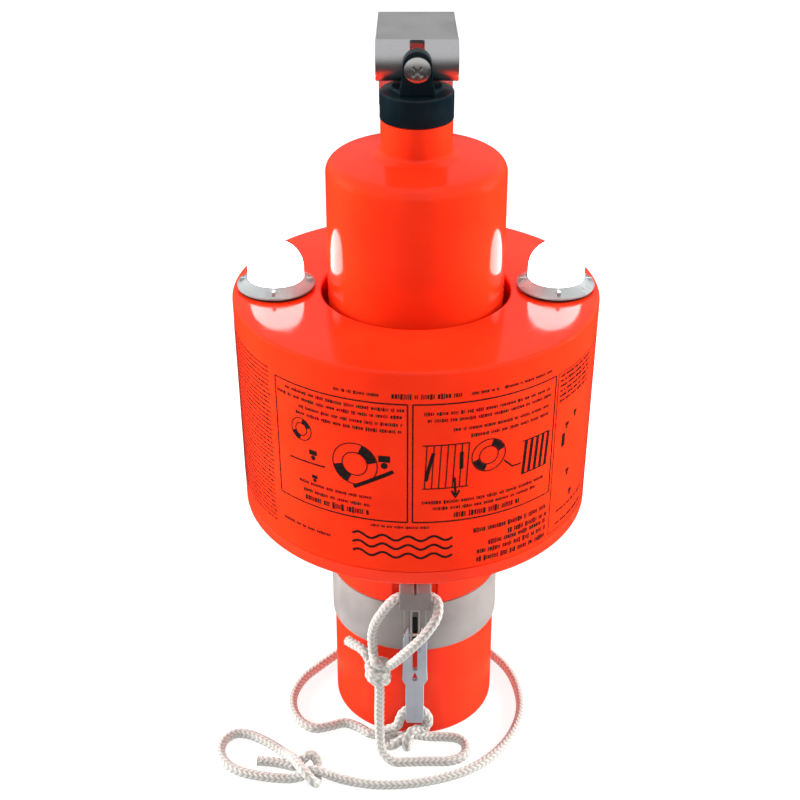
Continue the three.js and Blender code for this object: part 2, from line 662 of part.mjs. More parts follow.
// Pan head with a cross recess, and the shank that runs back through the lug and the curl.
function capScrew() {
  const faceY = LUG_FRONT - GAP;
  const headHeight = 3.6;
  const shankLength = 17.5;
  const barHalf = 0.8;
  const barReach = 3.2;
  const recessDepth = 1.5;
  const profile = [
    [0, 0], [HEAD_RADIUS, 0], [HEAD_RADIUS, 1.1], [HEAD_RADIUS * 0.86, 2.5], [HEAD_RADIUS * 0.5, 3.4],
    [0, headHeight],
  ];
  const head = turned(profile, SMALL_SIDES).rotate([90, 0, 0]).translate([0, faceY, SCREW_HEIGHT]);
  const shank = rod(SCREW_RADIUS, shankLength, [0, faceY - 0.5, SCREW_HEIGHT], [0, 1, 0], BORE_SIDES);
  const depth = [faceY - headHeight - 1, faceY - headHeight + recessDepth];
  const cross = block([-barHalf, barHalf], depth, [-barReach, barReach])
    .add(block([-barReach, barReach], depth, [-barHalf, barHalf]));
  return head.add(shank).subtract(cross.rotate([0, 45, 0]).translate([0, 0, SCREW_HEIGHT]));
}

// One bent strip: curl in front, flat top, rear leg. The curl has a slot for the screw.
function hangerPlate() {
  const inner = CURL_RADIUS - STRIP_THICKNESS;
  const top = CURL_Z + CURL_RADIUS;
  const under = top - STRIP_THICKNESS;
  const bend = 4;
  const curlEnd = 285;
  const slotHalf = 3.8;
  const curl = strip([
    ...corner(CURL_RADIUS, CURL_Y, CURL_Z, 90, curlEnd, 12),
    ...corner(inner, CURL_Y, CURL_Z, curlEnd, 90, 12),
  ], CURL_WIDTH);
  const flat = strip([
    [CURL_Y - 0.5, under], [CURL_Y - 0.5, top],
    ...corner(bend, LEG_Y - bend, top - bend, 90, 0),
    [LEG_Y, LEG_BOTTOM], [LEG_Y - STRIP_THICKNESS, LEG_BOTTOM],
    ...corner(bend - STRIP_THICKNESS, LEG_Y - bend, top - bend, 0, 90),
  ], STRIP_WIDTH);
  const slotDepth = [CURL_Y - CURL_RADIUS - 2, CURL_Y - 1.5];
  return curl.add(flat).subtract(block([-slotHalf, slotHalf], slotDepth, [CURL_Z - 4, top + 1]));
}

// Washer and nut sit inside the curl, behind its slotted wall.
function addCap() {
  const washerY = CURL_Y - CURL_RADIUS + STRIP_THICKNESS + 2.4;
  const washerThickness = 1;
  const bore = rod(SCREW_RADIUS + 0.1, 20, [0, -12, SCREW_HEIGHT], [0, 1, 0], BORE_SIDES);
  const washer = rod(5.6, washerThickness, [0, washerY, SCREW_HEIGHT], [0, 1, 0]);
  const nut = rod(5.3, 4.2, [0, washerY + washerThickness + GAP, SCREW_HEIGHT], [0, 1, 0], 6);
  const seal = ring(3, SPIGOT_RADIUS - 0.2, SPIGOT_TOP + GAP, SPIGOT_TOP + 1.5, HIDDEN_SIDES);
  add('pull_off_cap', capBody(), BLACK_PLASTIC);
  add('cap_seal', seal, BLACK_RUBBER);
  add('cap_screw', capScrew(), STEEL);
  add('cap_washer', washer.subtract(bore), STEEL);
  add('cap_nut', nut.subtract(bore), STEEL);
  add('hanger_plate', hangerPlate(), STEEL);
  add('striker_wire', strikerWire(), STEEL);
}

// ---- lanyard: one rope, in stretches that meet at its three knots ----
const BLOCK_LOOP = [
  [-24.2, -54.4, 68.4], [-24.6, -53.2, 74], [-24.8, -52.9, 80], [-23, -53.4, 89], [-19, -54.4, 97.5],
  [-14.5, -54.6, 104.5], [-9.5, BLOCK_BORE_Y, BLOCK_BORE_Z], [0, BLOCK_BORE_Y, BLOCK_BORE_Z],
  [9.5, BLOCK_BORE_Y, BLOCK_BORE_Z], [12.6, -56, 106.4], [13, -59.4, 102], [11.5, -62.4, 98.6],
  [7.1, -65.4, 92.8], [1.4, -66.6, 86], [-5.9, -65.6, 77.1], [-11.8, -63, 68.8], [-15.2, -61.4, 64.6],
];
const DROP = [
  [-20.8, -58.8, 53], [-20.6, -59.4, 44], [-20.8, -60, 34], [-20.9, -61.2, 24], [-20.6, -63.8, 14],
  [-19.2, -68.8, 6.4], [-12.8, -73.6, 3.1], [-4, -73.8, 2.9], [4, -73.4, 2.9], [12, -73.4, 2.9],
  [20, -73.2, 2.9], [27.6, -70, 2.9], [31, -63.6, 2.9], [29.8, -57, 2.9], [25.6, -53.4, 2.9],
  [18.6, -52.2, 3], [10, -52.6, 3.6], [3, -54.2, 6],
];
const LEVER_LOOP = [
  [-10.6, -54, 13], [-8.9, -53.4, 17.4], [-7, -52, 21.2], [-3.6, -51.3, 23.4], [0, -51.2, 24],
  [3.6, -51.3, 23.4], [7, -52.2, 20.6], [8.4, -53.6, 16.6], [5.6, -55.8, 12.6],
];
const LONG_RUN = [
  [-9.6, -51.6, 3.2], [-17.6, -50, 2.9], [-26.2, -49.4, 2.9], [-34.4, -43, 2.9], [-42.4, -39.6, 2.9],
  [-51.6, -42.6, 2.9], [-60.4, -44.4, 2.9], [-68.2, -39.6, 2.9], [-74, -29.2, 2.9], [-75.4, -14.8, 2.9],
  [-70, 1.6, 2.9], [-60.4, 14.4, 2.9], [-49.4, 27, 2.9], [-36, 41, 2.9], [-18.6, 51, 2.9], [1, 54.4, 2.9],
  [21, 50, 2.9], [38.6, 39.4, 2.9], [51.6, 25.7, 2.9], [60.2, 11.4, 2.9], [65, -6, 2.9], [66, -25, 2.9],
  [62.2, -42, 2.9], [55.4, -56.4, 2.9], [45.4, -69.6, 2.9], [31, -81, 2.9], [13.1, -88.4, 2.9],
  [-5, -92.2, 2.9], [-24, -92.6, 2.9], [-41, -88.8, 2.9], [-49, -87, 4.4], [-55.4, -86.6, 7.4],
];
const END_LOOP = [
  [-72.4, -75.2, 7.4], [-75, -70.2, 4.6], [-78.4, -65.8, 3.1], [-83.8, -60.6, 2.9], [-92, -54.4, 2.9],
  [-100, -50, 2.9], [-107.8, -49.2, 2.9], [-113.8, -54.2, 2.9], [-116, -62.4, 2.9], [-114.2, -70.4, 2.9],
  [-109.2, -77.4, 2.9], [-101.6, -82.4, 2.9], [-92, -85.4, 2.9], [-82, -87.2, 2.9], [-72.4, -87.8, 3],
];
const UPPER_TAIL = [
  [-22, -57, 60], [-27, -51, 61.6], [-28.6, -50, 64.6], [-32.4, -45.4, 65.6], [-36.3, -41.4, 65],
  [-39.4, -37, 64],
];
const END_TAIL = [[-64, -80, 6], [-70.4, -77.8, 3.2], [-76, -76, 2.9], [-84, -74, 2.9], [-93, -73, 2.9]];

// A knot's outer shape: an egg-shaped lump about its middle.
function knot(centre, size, tail) {
  const lump = new THREE.IcosahedronGeometry(0.5, 2).scale(...size).translate(...centre);
  const solid = toSolid(lump);
  return tail ? solid.add(cord(tail, ROPE_DIAMETER, 5, ROPE_SIDES)) : solid;
}

function addLanyard() {
  const upper = knot([-21.6, -57.8, 59.6], [15, 12.6, 17.4], UPPER_TAIL);
  const lever = knot([-8, -57.6, 8.2], [24, 13, 14.4]);
  const end = knot([-63.4, -84, 6.8], [18, 22, 13.4], END_TAIL);
  add('lanyard_block_loop', cord(BLOCK_LOOP, ROPE_DIAMETER, 20, ROPE_SIDES).subtract(upper), ROPE);
  add('lanyard_drop', cord(DROP, ROPE_DIAMETER, 18, ROPE_SIDES).subtract(upper).subtract(lever), ROPE);
  add('lanyard_lever_loop', cord(LEVER_LOOP, ROPE_DIAMETER, 8, ROPE_SIDES).subtract(lever), ROPE);
  add('lanyard_long_run', cord(LONG_RUN, ROPE_DIAMETER, 34, ROPE_SIDES).subtract(lever).subtract(end), ROPE);
  add('lanyard_end_loop', cord(END_LOOP, ROPE_DIAMETER, 16, ROPE_SIDES).subtract(end), ROPE);
  add('lanyard_knot_upper', upper, ROPE);
  add('lanyard_knot_lever', lever, ROPE);
  add('lanyard_knot_end', end, ROPE);
}

addCanister();
addFloat();
addLamp('left', -1);
addLamp('right', 1);
addBase();
addRelease();
addCap();
addLanyard();

export default signal;
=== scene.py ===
"""Looks of a man-overboard light and smoke signal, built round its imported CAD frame.

+Z up, origin at the centre of the face it stands on, release lever towards -Y. Shapes are worked out in
millimetres and piece() turns them into metres; the rope and everything in a shader is in metres.
"""

import json
import math
import random

import bmesh
import bpy
import numpy as np
from mathutils import Matrix, Vector


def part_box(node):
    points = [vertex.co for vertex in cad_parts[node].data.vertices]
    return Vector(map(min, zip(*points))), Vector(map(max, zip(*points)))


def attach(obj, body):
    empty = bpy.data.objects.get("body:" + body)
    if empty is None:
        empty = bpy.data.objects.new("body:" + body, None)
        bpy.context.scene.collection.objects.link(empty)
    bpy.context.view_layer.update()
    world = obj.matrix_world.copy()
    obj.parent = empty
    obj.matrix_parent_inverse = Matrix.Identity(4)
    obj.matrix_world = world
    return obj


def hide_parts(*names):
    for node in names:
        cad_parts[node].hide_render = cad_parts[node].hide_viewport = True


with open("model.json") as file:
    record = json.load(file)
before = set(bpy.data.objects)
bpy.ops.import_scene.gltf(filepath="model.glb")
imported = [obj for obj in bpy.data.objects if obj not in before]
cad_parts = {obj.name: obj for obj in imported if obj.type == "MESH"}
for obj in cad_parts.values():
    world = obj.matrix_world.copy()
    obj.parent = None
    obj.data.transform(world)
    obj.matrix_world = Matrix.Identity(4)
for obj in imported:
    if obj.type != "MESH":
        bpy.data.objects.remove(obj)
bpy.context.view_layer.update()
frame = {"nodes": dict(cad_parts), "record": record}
MM = 0.001


def cad(node):
    """A CAD node's lowest and highest corners, in millimetres."""
    low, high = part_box(node)
    return low / MM, high / MM


def placed(name, data):
    """A new object for this data, in the scene."""
    made = bpy.data.objects.new(name, data)
    bpy.context.scene.collection.objects.link(made)
    return made


# ---- driving dimensions: places from the frame, finer details in millimetres ----
TUBE_RADIUS = cad("smoke_canister")[1].x
TUBE_INNER = 45.5
JOINT = cad("smoke_canister")[0].z          # lower rim of the canister, on the base cup
SPIGOT_TOP = cad("smoke_canister")[1].z
NECK_TOP = SPIGOT_TOP - 13.1
CANISTER_TOP = SPIGOT_TOP - 35.5
NECK_RADIUS = 18.95
SPIGOT_RADIUS = 16.9
NECK_BORE = 13.6

FLOAT_RADIUS = cad("float_shell")[1].x
FLOAT_TOP = cad("float_shell")[1].z
FLOAT_SEAM = cad("float_shell")[0].z        # lower rim of the shell
FLOAT_BASE_RADIUS = 98
FLOAT_HOLE = 51.4
FLOAT_WALL = 3
FLOAT_SHOULDER = 2
INNER_TUBE_END = 172
UNDERSIDE_BOTTOM = 147.4
COLLAR_BOTTOM = cad("float_underside")[0].z
COLLAR_RADIUS = 49.7
NOTCH_HALF = 13
NOTCH_TOP = 124

LENS_LOW, LENS_HIGH = cad("lamp_lens_right")
LAMP_OFFSET = (LENS_LOW.x + LENS_HIGH.x) / 2
FLANGE_RADIUS = 21.2
DOME_RADIUS = 15.2
DOME_CENTRE = LENS_HIGH.z - DOME_RADIUS

BAND_LOW, BAND_HIGH = cad("clamp_band")
BLOCK_LOW, BLOCK_HIGH = cad("rope_block")
HOUSING_LOW, HOUSING_HIGH = cad("lever_housing")
LEVER_LOW, LEVER_HIGH = cad("release_lever")
PIN_LOW, PIN_HIGH = cad("lever_pin")
PIVOT = (PIN_LOW + PIN_HIGH) / 2
BORE_Y = -54.2
BORE_Z = 108.4

CAP_LOW, CAP_HIGH = cad("pull_off_cap")
CAP_RADIUS = 19.25
CAP_RIM = CAP_LOW.z + 13.7
BOSS_TOP = CAP_LOW.z + 17.4
LUG_HALF = 7.4
LUG_CENTRE = CAP_HIGH.z - LUG_HALF
LUG_FRONT = -14
LUG_BACK = -6.6
SCREW_LOW, SCREW_HIGH = cad("cap_screw")
SCREW_Z = (SCREW_LOW.z + SCREW_HIGH.z) / 2

HANGER_LOW, HANGER_HIGH = cad("hanger_plate")
STRIP_HALF = 20.3
STRIP_THICKNESS = 1.6
CURL_RADIUS = 10.7
CURL_Y = HANGER_LOW.y + CURL_RADIUS
CURL_Z = HANGER_HIGH.z - CURL_RADIUS

ROPE_DIAMETER = 0.0058
ROPE_COLUMNS = 8                            # strand columns round the rope
ROPE_STITCH = 0.0032                        # length of one V of the braid

CAMERA_PLACE = (-0.00866, -0.7641, 0.63565) # in metres
CAMERA_PITCH = 29.295                       # degrees below level
CAMERA_LENS = 69.305
CAMERA_SENSOR = 36


# ---- camera ----
def add_camera():
    """The photograph's view: from in front, looking down along +Y, level across."""
    data = bpy.data.cameras.new("camera")
    data.lens = CAMERA_LENS
    data.sensor_width = CAMERA_SENSOR
    camera = placed("camera", data)
    camera.location = CAMERA_PLACE
    camera.rotation_euler = (math.radians(90 - CAMERA_PITCH), 0, 0)
    bpy.context.scene.camera = camera


# ---- materials ----
class Shader:
    """A node material with one Principled shader. Its socket values are named with _ for a space."""

    def __init__(self, name, **sockets):
        self.material = bpy.data.materials.new(name)
        self.material.use_nodes = True
        self.tree = self.material.node_tree
        self.shader = self.tree.nodes["Principled BSDF"]
        for socket, value in sockets.items():
            self.shader.inputs[socket.replace("_", " ")].default_value = value
        self.place = self.add("ShaderNodeTexCoord").outputs["Object"]

    def add(self, kind, **settings):
        node = self.tree.nodes.new(kind)
        for name, value in settings.items():
            setattr(node, name, value)
        return node

    def link(self, source, target):
        self.tree.links.new(source, target)

    def noise(self, scale, detail, stretch=None):
        """Cloudy values from 0 to 1, `scale` clouds to the metre, squeezed along an axis by stretch."""
        node = self.add("ShaderNodeTexNoise")
        node.inputs["Scale"].default_value = scale
        node.inputs["Detail"].default_value = detail
        place = self.place
        if stretch:
            mapping = self.add("ShaderNodeMapping")
            mapping.inputs["Scale"].default_value = stretch
            self.link(place, mapping.inputs["Vector"])
            place = mapping.outputs["Vector"]
        self.link(place, node.inputs["Vector"])
        return node.outputs["Fac"]

    def between(self, factor, low, high, start=0.35, end=0.65):
        """A number that goes from low to high as factor goes from start to end."""
        node = self.add("ShaderNodeMapRange")
        for socket, value in (("From Min", start), ("From Max", end), ("To Min", low), ("To Max", high)):
            node.inputs[socket].default_value = value
        self.link(factor, node.inputs["Value"])
        return node.outputs["Result"]

    def ramp(self, factor, *stops):
        node = self.add("ShaderNodeValToRGB")
        elements = node.color_ramp.elements
        while len(elements) < len(stops):
            elements.new(0.5)
        for element, (position, colour) in zip(elements, stops):
            element.position = position
            element.color = (*colour, 1)
        self.link(factor, node.inputs["Fac"])
        return node.outputs["Color"]

    def mix(self, factor, first, second):
        node = self.add("ShaderNodeMix", data_type="RGBA")
        self.link(factor, node.inputs["Factor"])
        self.link(first, node.inputs[6])
        self.link(second, node.inputs[7])
        return node.outputs[2]

    def bump(self, *layers):
        """Layers are (height, strength, distance in metres), each laid on the one before."""
        normal = None
        for height, strength, distance in layers:
            node = self.add("ShaderNodeBump")
            node.inputs["Strength"].default_value = strength
            node.inputs["Distance"].default_value = distance
            self.link(height, node.inputs["Height"])
            if normal:
                self.link(normal, node.inputs["Normal"])
            normal = node.outputs["Normal"]
        self.link(normal, self.shader.inputs["Normal"])

    def feed(self, socket, source):
        self.link(source, self.shader.inputs[socket])


def orange_moulding(name, low_rough, high_rough):
    """Orange moulding: slight mottling, a faint ripple in its gloss, fine scuffs and dull patches."""
    s = Shader(name, IOR=1.42, Specular_IOR_Level=0.32)
    mottle = s.noise(38, 3)
    grime = s.noise(9, 4)
    scuffs = s.noise(160, 6, stretch=(1, 1, 6))
    fresh = s.ramp(mottle, (0.3, (0.79, 0.025, 0.0048)), (0.7, (0.85, 0.031, 0.0060)))
    worn = s.ramp(mottle, (0.3, (0.76, 0.027, 0.0064)), (0.7, (0.82, 0.034, 0.0088)))
    s.feed("Base Color", s.mix(s.between(grime, 0, 1, 0.45, 0.75), fresh, worn))
    s.feed("Roughness", s.between(scuffs, low_rough, high_rough, 0.45, 0.8))
    s.bump((s.noise(420, 1), 0.05, 0.0002), (scuffs, 0.02, 0.00005))
    return s.material


def satin_black():
    """Black moulding with a blue cast, fine grain and rubbed patches."""
    s = Shader("satin_black_plastic", IOR=1.5, Specular_IOR_Level=0.35)
    wear = s.noise(60, 5)
    s.feed("Base Color", s.ramp(wear, (0.35, (0.0010, 0.005, 0.008)), (0.75, (0.003, 0.011, 0.015))))
    s.feed("Roughness", s.between(wear, 0.26, 0.44))
    s.bump((s.noise(900, 2), 0.12, 0.00005))
    return s.material


def satin_steel():
    """Rolled stainless strip, brushed across its width, with faint finger marks."""
    s = Shader("satin_steel", Metallic=1.0)
    brushing = s.noise(420, 5, stretch=(1, 12, 12))
    s.feed("Base Color", s.ramp(brushing, (0.3, (0.74, 0.74, 0.76)), (0.7, (0.86, 0.86, 0.87))))
    s.feed("Roughness", s.between(s.noise(45, 3), 0.26, 0.40))
    s.bump((brushing, 0.08, 0.00004))
    return s.material


def polished_steel():
    """Turned steel of screws and pins."""
    s = Shader("polished_steel", Metallic=1.0)
    marks = s.noise(700, 4)
    s.feed("Base Color", s.ramp(marks, (0.3, (0.80, 0.79, 0.77)), (0.7, (0.92, 0.91, 0.89))))
    s.feed("Roughness", s.between(marks, 0.22, 0.36))
    s.bump((marks, 0.05, 0.00003))
    return s.material


def grained_plastic(name, low, high):
    """Matt moulding between two near colours, with a fine spark-eroded grain."""
    s = Shader(name, IOR=1.48)
    cloud = s.noise(55, 4)
    s.feed("Base Color", s.ramp(cloud, (0.3, low), (0.7, high)))
    s.feed("Roughness", s.between(cloud, 0.38, 0.52))
    s.bump((s.noise(1100, 2), 0.15, 0.00005))
    return s.material


def lit_dome():
    """Frosted dome, lit from inside."""
    s = Shader("lit_dome", IOR=1.49, Emission_Strength=7.0)
    glow = s.noise(40, 2)
    s.feed("Base Color", s.ramp(glow, (0.3, (0.86, 0.88, 0.88)), (0.7, (0.93, 0.94, 0.94))))
    s.feed("Emission Color", s.ramp(glow, (0.3, (0.93, 0.97, 1.0)), (0.7, (1.0, 1.0, 1.0))))
    s.feed("Roughness", s.between(glow, 0.08, 0.16))
    s.bump((s.noise(500, 2), 0.03, 0.00005))
    return s.material


def clear_flange():
    """Clear moulding that looks grey over the dark gasket."""
    s = Shader("lens_flange", IOR=1.49, Transmission_Weight=0.3, Coat_Weight=0.5, Coat_Roughness=0.05)
    haze = s.noise(70, 3)
    s.feed("Base Color", s.ramp(haze, (0.3, (0.27, 0.29, 0.29)), (0.7, (0.34, 0.36, 0.36))))
    s.feed("Roughness", s.between(haze, 0.16, 0.28))
    s.bump((s.noise(260, 3), 0.06, 0.00008))
    return s.material


def label_ink():
    """Screen-printed black, a little thin in places."""
    s = Shader("label_ink", IOR=1.45)
    thin = s.noise(900, 3)
    s.feed("Base Color", s.ramp(thin, (0.35, (0.006, 0.005, 0.006)), (0.75, (0.030, 0.010, 0.009))))
    s.feed("Roughness", s.between(s.noise(400, 2), 0.22, 0.36))
    s.bump((thin, 0.04, 0.00002))
    return s.material


def braided_rope():
    """Polyester braid: pale strands, grooves between them darkened as painted shade, fine fibres and a little
    dirt.
    """
    s = Shader("braided_rope", IOR=1.5, Sheen_Weight=0.2, Sheen_Roughness=0.5)
    height = s.add("ShaderNodeAttribute", attribute_name="strand_height").outputs["Fac"]
    fibres = s.noise(1900, 4)
    # Both ramps paint shade into the grooves between strands, darker where strand_height is low; the second
    # is laid on in random dirt patches.
    clean_groove_shade = s.ramp(height, (0.05, (0.33, 0.31, 0.29)), (0.5, (0.44, 0.43, 0.40)),
                   (0.95, (0.54, 0.54, 0.51)))
    dust_and_groove_shade = s.ramp(height, (0.05, (0.28, 0.26, 0.23)), (0.5, (0.45, 0.43, 0.40)),
                   (0.95, (0.57, 0.55, 0.52)))
    s.feed("Base Color", s.mix(s.between(s.noise(28, 4), 0, 1, 0.42, 0.72), clean_groove_shade, dust_and_groove_shade))
    s.feed("Roughness", s.between(fibres, 0.62, 0.85))
    s.bump((fibres, 0.5, 0.00012))
    return s.material


def plain(name, low, high, rough, metal=0.0, scale=120):
    """A moulded, pressed or cast finish for pieces that are mostly out of sight."""
    s = Shader(name, Metallic=metal)
    patches = s.noise(scale, 4)
    s.feed("Base Color", s.ramp(patches, (0.3, low), (0.7, high)))
    s.feed("Roughness", s.between(patches, rough - 0.07, rough + 0.07))
    s.bump((s.noise(scale * 6, 2), 0.15, 0.00008))
    return s.material


ORANGE = orange_moulding("glossy_orange", 0.09, 0.20)
BASE_ORANGE = orange_moulding("satin_orange", 0.29, 0.32)
BLACK = satin_black()
RUBBER = plain("black_rubber", (0.008, 0.008, 0.009), (0.020, 0.020, 0.021), 0.65, scale=300)
STEEL = satin_steel()
POLISHED = polished_steel()
GREY = grained_plastic("warm_grey_plastic", (0.23, 0.207, 0.198), (0.29, 0.267, 0.255))
BLOCK_GREY = grained_plastic("dark_grey_plastic", (0.17, 0.150, 0.145), (0.22, 0.20, 0.19))
LEVER_GREY = grained_plastic("blue_grey_plastic", (0.30, 0.315, 0.37), (0.37, 0.385, 0.43))
DOME = lit_dome()
FLANGE = clear_flange()
INK = label_ink()
ROPE = braided_rope()

SLOT_FINISHES = {
    "orange_plastic": ORANGE,
    "black_plastic": BLACK,
    "black_rubber": RUBBER,
    "stainless_steel": STEEL,
    "grey_plastic": GREY,
    "lever_plastic": LEVER_GREY,
    "lens": DOME,
    "rope": ROPE,
    "tinplate": plain("tinplate", (0.45, 0.45, 0.46), (0.60, 0.60, 0.61), 0.35, metal=1.0),
    "smoke_compound": plain("smoke_compound", (0.50, 0.16, 0.03), (0.68, 0.26, 0.05), 0.85, scale=400),
    "brass": plain("brass", (0.48, 0.32, 0.10), (0.62, 0.44, 0.16), 0.3, metal=1.0),
    "foam": plain("closed_cell_foam", (0.74, 0.68, 0.50), (0.86, 0.82, 0.66), 0.9, scale=700),
    "circuit_board": plain("circuit_board", (0.01, 0.10, 0.035), (0.02, 0.16, 0.06), 0.4, scale=60),
    "diode": plain("diode_resin", (0.80, 0.70, 0.15), (0.90, 0.82, 0.25), 0.2),
    "wire_sleeve": plain("wire_sleeve", (0.38, 0.01, 0.01), (0.50, 0.02, 0.02), 0.5, scale=300),
    "cell_jacket": plain("cell_jacket", (0.05, 0.07, 0.09), (0.09, 0.11, 0.14), 0.35),
}


def finish_cad_nodes():
    """Gives each CAD node the finish of its slot."""
    for part in frame["record"]["subparts"]:
        mesh = frame["nodes"][part["node"]].data
        mesh.materials.clear()
        mesh.materials.append(SLOT_FINISHES[part["material_slot"]])


# ---- mesh work ----
def piece(name, mesh, material, body, replaces=(), crease=32, scale=MM):
    """Makes a mesh a finished piece: cleaned, smooth but for its sharp edges, on its body."""
    mesh.transform(Matrix.Scale(scale, 4))
    work = bmesh.new()
    work.from_mesh(mesh)
    bmesh.ops.remove_doubles(work, verts=work.verts, dist=1e-6)
    bmesh.ops.recalc_face_normals(work, faces=work.faces)
    for edge in work.edges:
        edge.smooth = len(edge.link_faces) != 2 or edge.calc_face_angle(0) < math.radians(crease)
    for face in work.faces:
        face.smooth = True
    work.to_mesh(mesh)
    work.free()
    mesh.materials.clear()
    mesh.materials.append(material)
    made = placed(name, mesh)
    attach(made, body)
    if replaces:
        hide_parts(*replaces)
    return made


def mesh_of(vertices, faces):
    mesh = bpy.data.meshes.new("mesh")
    mesh.from_pydata([tuple(v) for v in vertices], [], faces)
    mesh.update()
    return mesh


def rounded(corners, steps=6, closed=True):
    """An outline of points from (a, b, corner radius) triples, each round corner an arc."""
    outline = []
    for i, (a, b, radius) in enumerate(corners):
        corner = Vector((a, b))
        if radius <= 0 or (not closed and i in (0, len(corners) - 1)):
            outline.append(corner)
            continue
        before = Vector(corners[i - 1][:2]) - corner
        after = Vector(corners[(i + 1) % len(corners)][:2]) - corner
        half = before.angle(after) / 2
        reach = min(radius / math.tan(half), 0.49 * before.length, 0.49 * after.length)
        arc_radius = reach * math.tan(half)
        bisector = (before.normalized() + after.normalized()).normalized()
        middle = corner + bisector * (arc_radius / math.sin(half))
        start = corner + before.normalized() * reach - middle
        end = corner + after.normalized() * reach - middle
        first = math.atan2(start.y, start.x)
        turn = (math.atan2(end.y, end.x) - first + math.pi) % (2 * math.pi) - math.pi
        for k in range(steps + 1):
            angle = first + turn * k / steps
            outline.append(middle + arc_radius * Vector((math.cos(angle), math.sin(angle))))
    return outline


def arc(radius, a, b, start, end, steps):
    """Points on an arc about (a, b), angles in degrees."""
    angles = [math.radians(start + (end - start) * i / steps) for i in range(steps + 1)]
    return [Vector((a + radius * math.cos(t), b + radius * math.sin(t))) for t in angles]


def turned(profile, sides, x=0):
    """A profile of (radius, height) points turned about an upright axis at x.

    A profile that starts on the axis ends there, and any other one closes on itself.
    """
    vertices, rings = [], []
    for radius, height in profile:
        if radius < 1e-6:
            rings.append([len(vertices)] * sides)
            vertices.append((x, 0, height))
            continue
        rings.append(list(range(len(vertices), len(vertices) + sides)))
        angles = [2 * math.pi * i / sides for i in range(sides)]
        vertices += [(x + radius * math.cos(t), radius * math.sin(t), height) for t in angles]
    on_axis = profile[0][0] < 1e-6
    faces = []
    for i in range(len(rings) - 1 if on_axis else len(rings)):
        low, high = rings[i], rings[(i + 1) % len(rings)]
        for k in range(sides):
            after = (k + 1) % sides
            face = list(dict.fromkeys((low[k], low[after], high[after], high[k])))
            if len(face) > 2:
                faces.append(face)
    return mesh_of(vertices, faces)


def cut(mesh, *tools):
    """A mesh with tools taken out of it, one after another."""
    for tool in tools:
        mesh = combined(mesh, tool, "DIFFERENCE")
    return mesh


def baked(owner):
    """The mesh that a passing object shows; the object goes."""
    graph = bpy.context.evaluated_depsgraph_get()
    mesh = bpy.data.meshes.new_from_object(owner.evaluated_get(graph))
    bpy.data.objects.remove(owner)
    return mesh


def combined(mesh, tool, operation):
    """A mesh after UNION with another, or DIFFERENCE by it."""
    owner, cutter = placed("scratch", mesh), placed("scratch", tool)
    modifier = owner.modifiers.new("combine", "BOOLEAN")
    modifier.operation = operation
    modifier.solver = "EXACT"
    modifier.object = cutter
    result = baked(owner)
    bpy.data.objects.remove(cutter)
    return result


def bevelled(mesh, width, segments=2):
    """A mesh with its sharp edges rounded."""
    sharp = 30
    owner = placed("scratch", mesh)
    modifier = owner.modifiers.new("edges", "BEVEL")
    modifier.width = width
    modifier.segments = segments
    modifier.limit_method = "ANGLE"
    modifier.angle_limit = math.radians(sharp)
    return baked(owner)


def plate(outlines, front, back, edge):
    """A plate from y = front to back with round edges.

    Outlines are in X and Z: the first is solid, and the rest are holes in it.
    """
    curve = bpy.data.curves.new("plate", "CURVE")
    curve.dimensions = "2D"
    curve.fill_mode = "BOTH"
    curve.extrude = (back - front) / 2 - edge
    curve.bevel_depth = edge
    curve.bevel_resolution = 2
    curve.offset = -edge
    for outline in outlines:
        spline = curve.splines.new("POLY")
        spline.points.add(len(outline) - 1)
        for point, (x, z) in zip(spline.points, outline):
            point.co = (x, z, 0, 1)
        spline.use_cyclic_u = True
    mesh = baked(placed("scratch", curve))
    mesh.transform(Matrix.Translation((0, (front + back) / 2, 0)) @ Matrix.Rotation(math.pi / 2, 4, "X"))
    return welded(mesh)


def welded(mesh):
    """A mesh with the points that fall together made one."""
    together = 0.002
    work = bmesh.new()
    work.from_mesh(mesh)
    bmesh.ops.remove_doubles(work, verts=work.verts, dist=together)
    bmesh.ops.recalc_face_normals(work, faces=work.faces)
    work.to_mesh(mesh)
    work.free()
    return mesh


def cuboid(x, y, z):
    """A block from pairs of limits, as a cutting tool."""
    corners = [(a, b, c) for a in x for b in y for c in z]
    faces = [(0, 1, 3, 2), (4, 6, 7, 5), (0, 4, 5, 1), (2, 3, 7, 6), (0, 2, 6, 4), (1, 5, 7, 3)]
    return mesh_of(corners, faces)


def rod(radius, start, end, sides, edge=0.2):
    """A round bar from start to end with rounded rims."""
    start, end = Vector(start), Vector(end)
    length = (end - start).length
    corners = [(0, 0, 0), (radius, 0, edge), (radius, length, edge), (0, length, 0)]
    mesh = turned(rounded(corners, 3, closed=False), sides)
    mesh.transform(Matrix.Translation(start) @ (end - start).to_track_quat("Z", "Y").to_matrix().to_4x4())
    return mesh


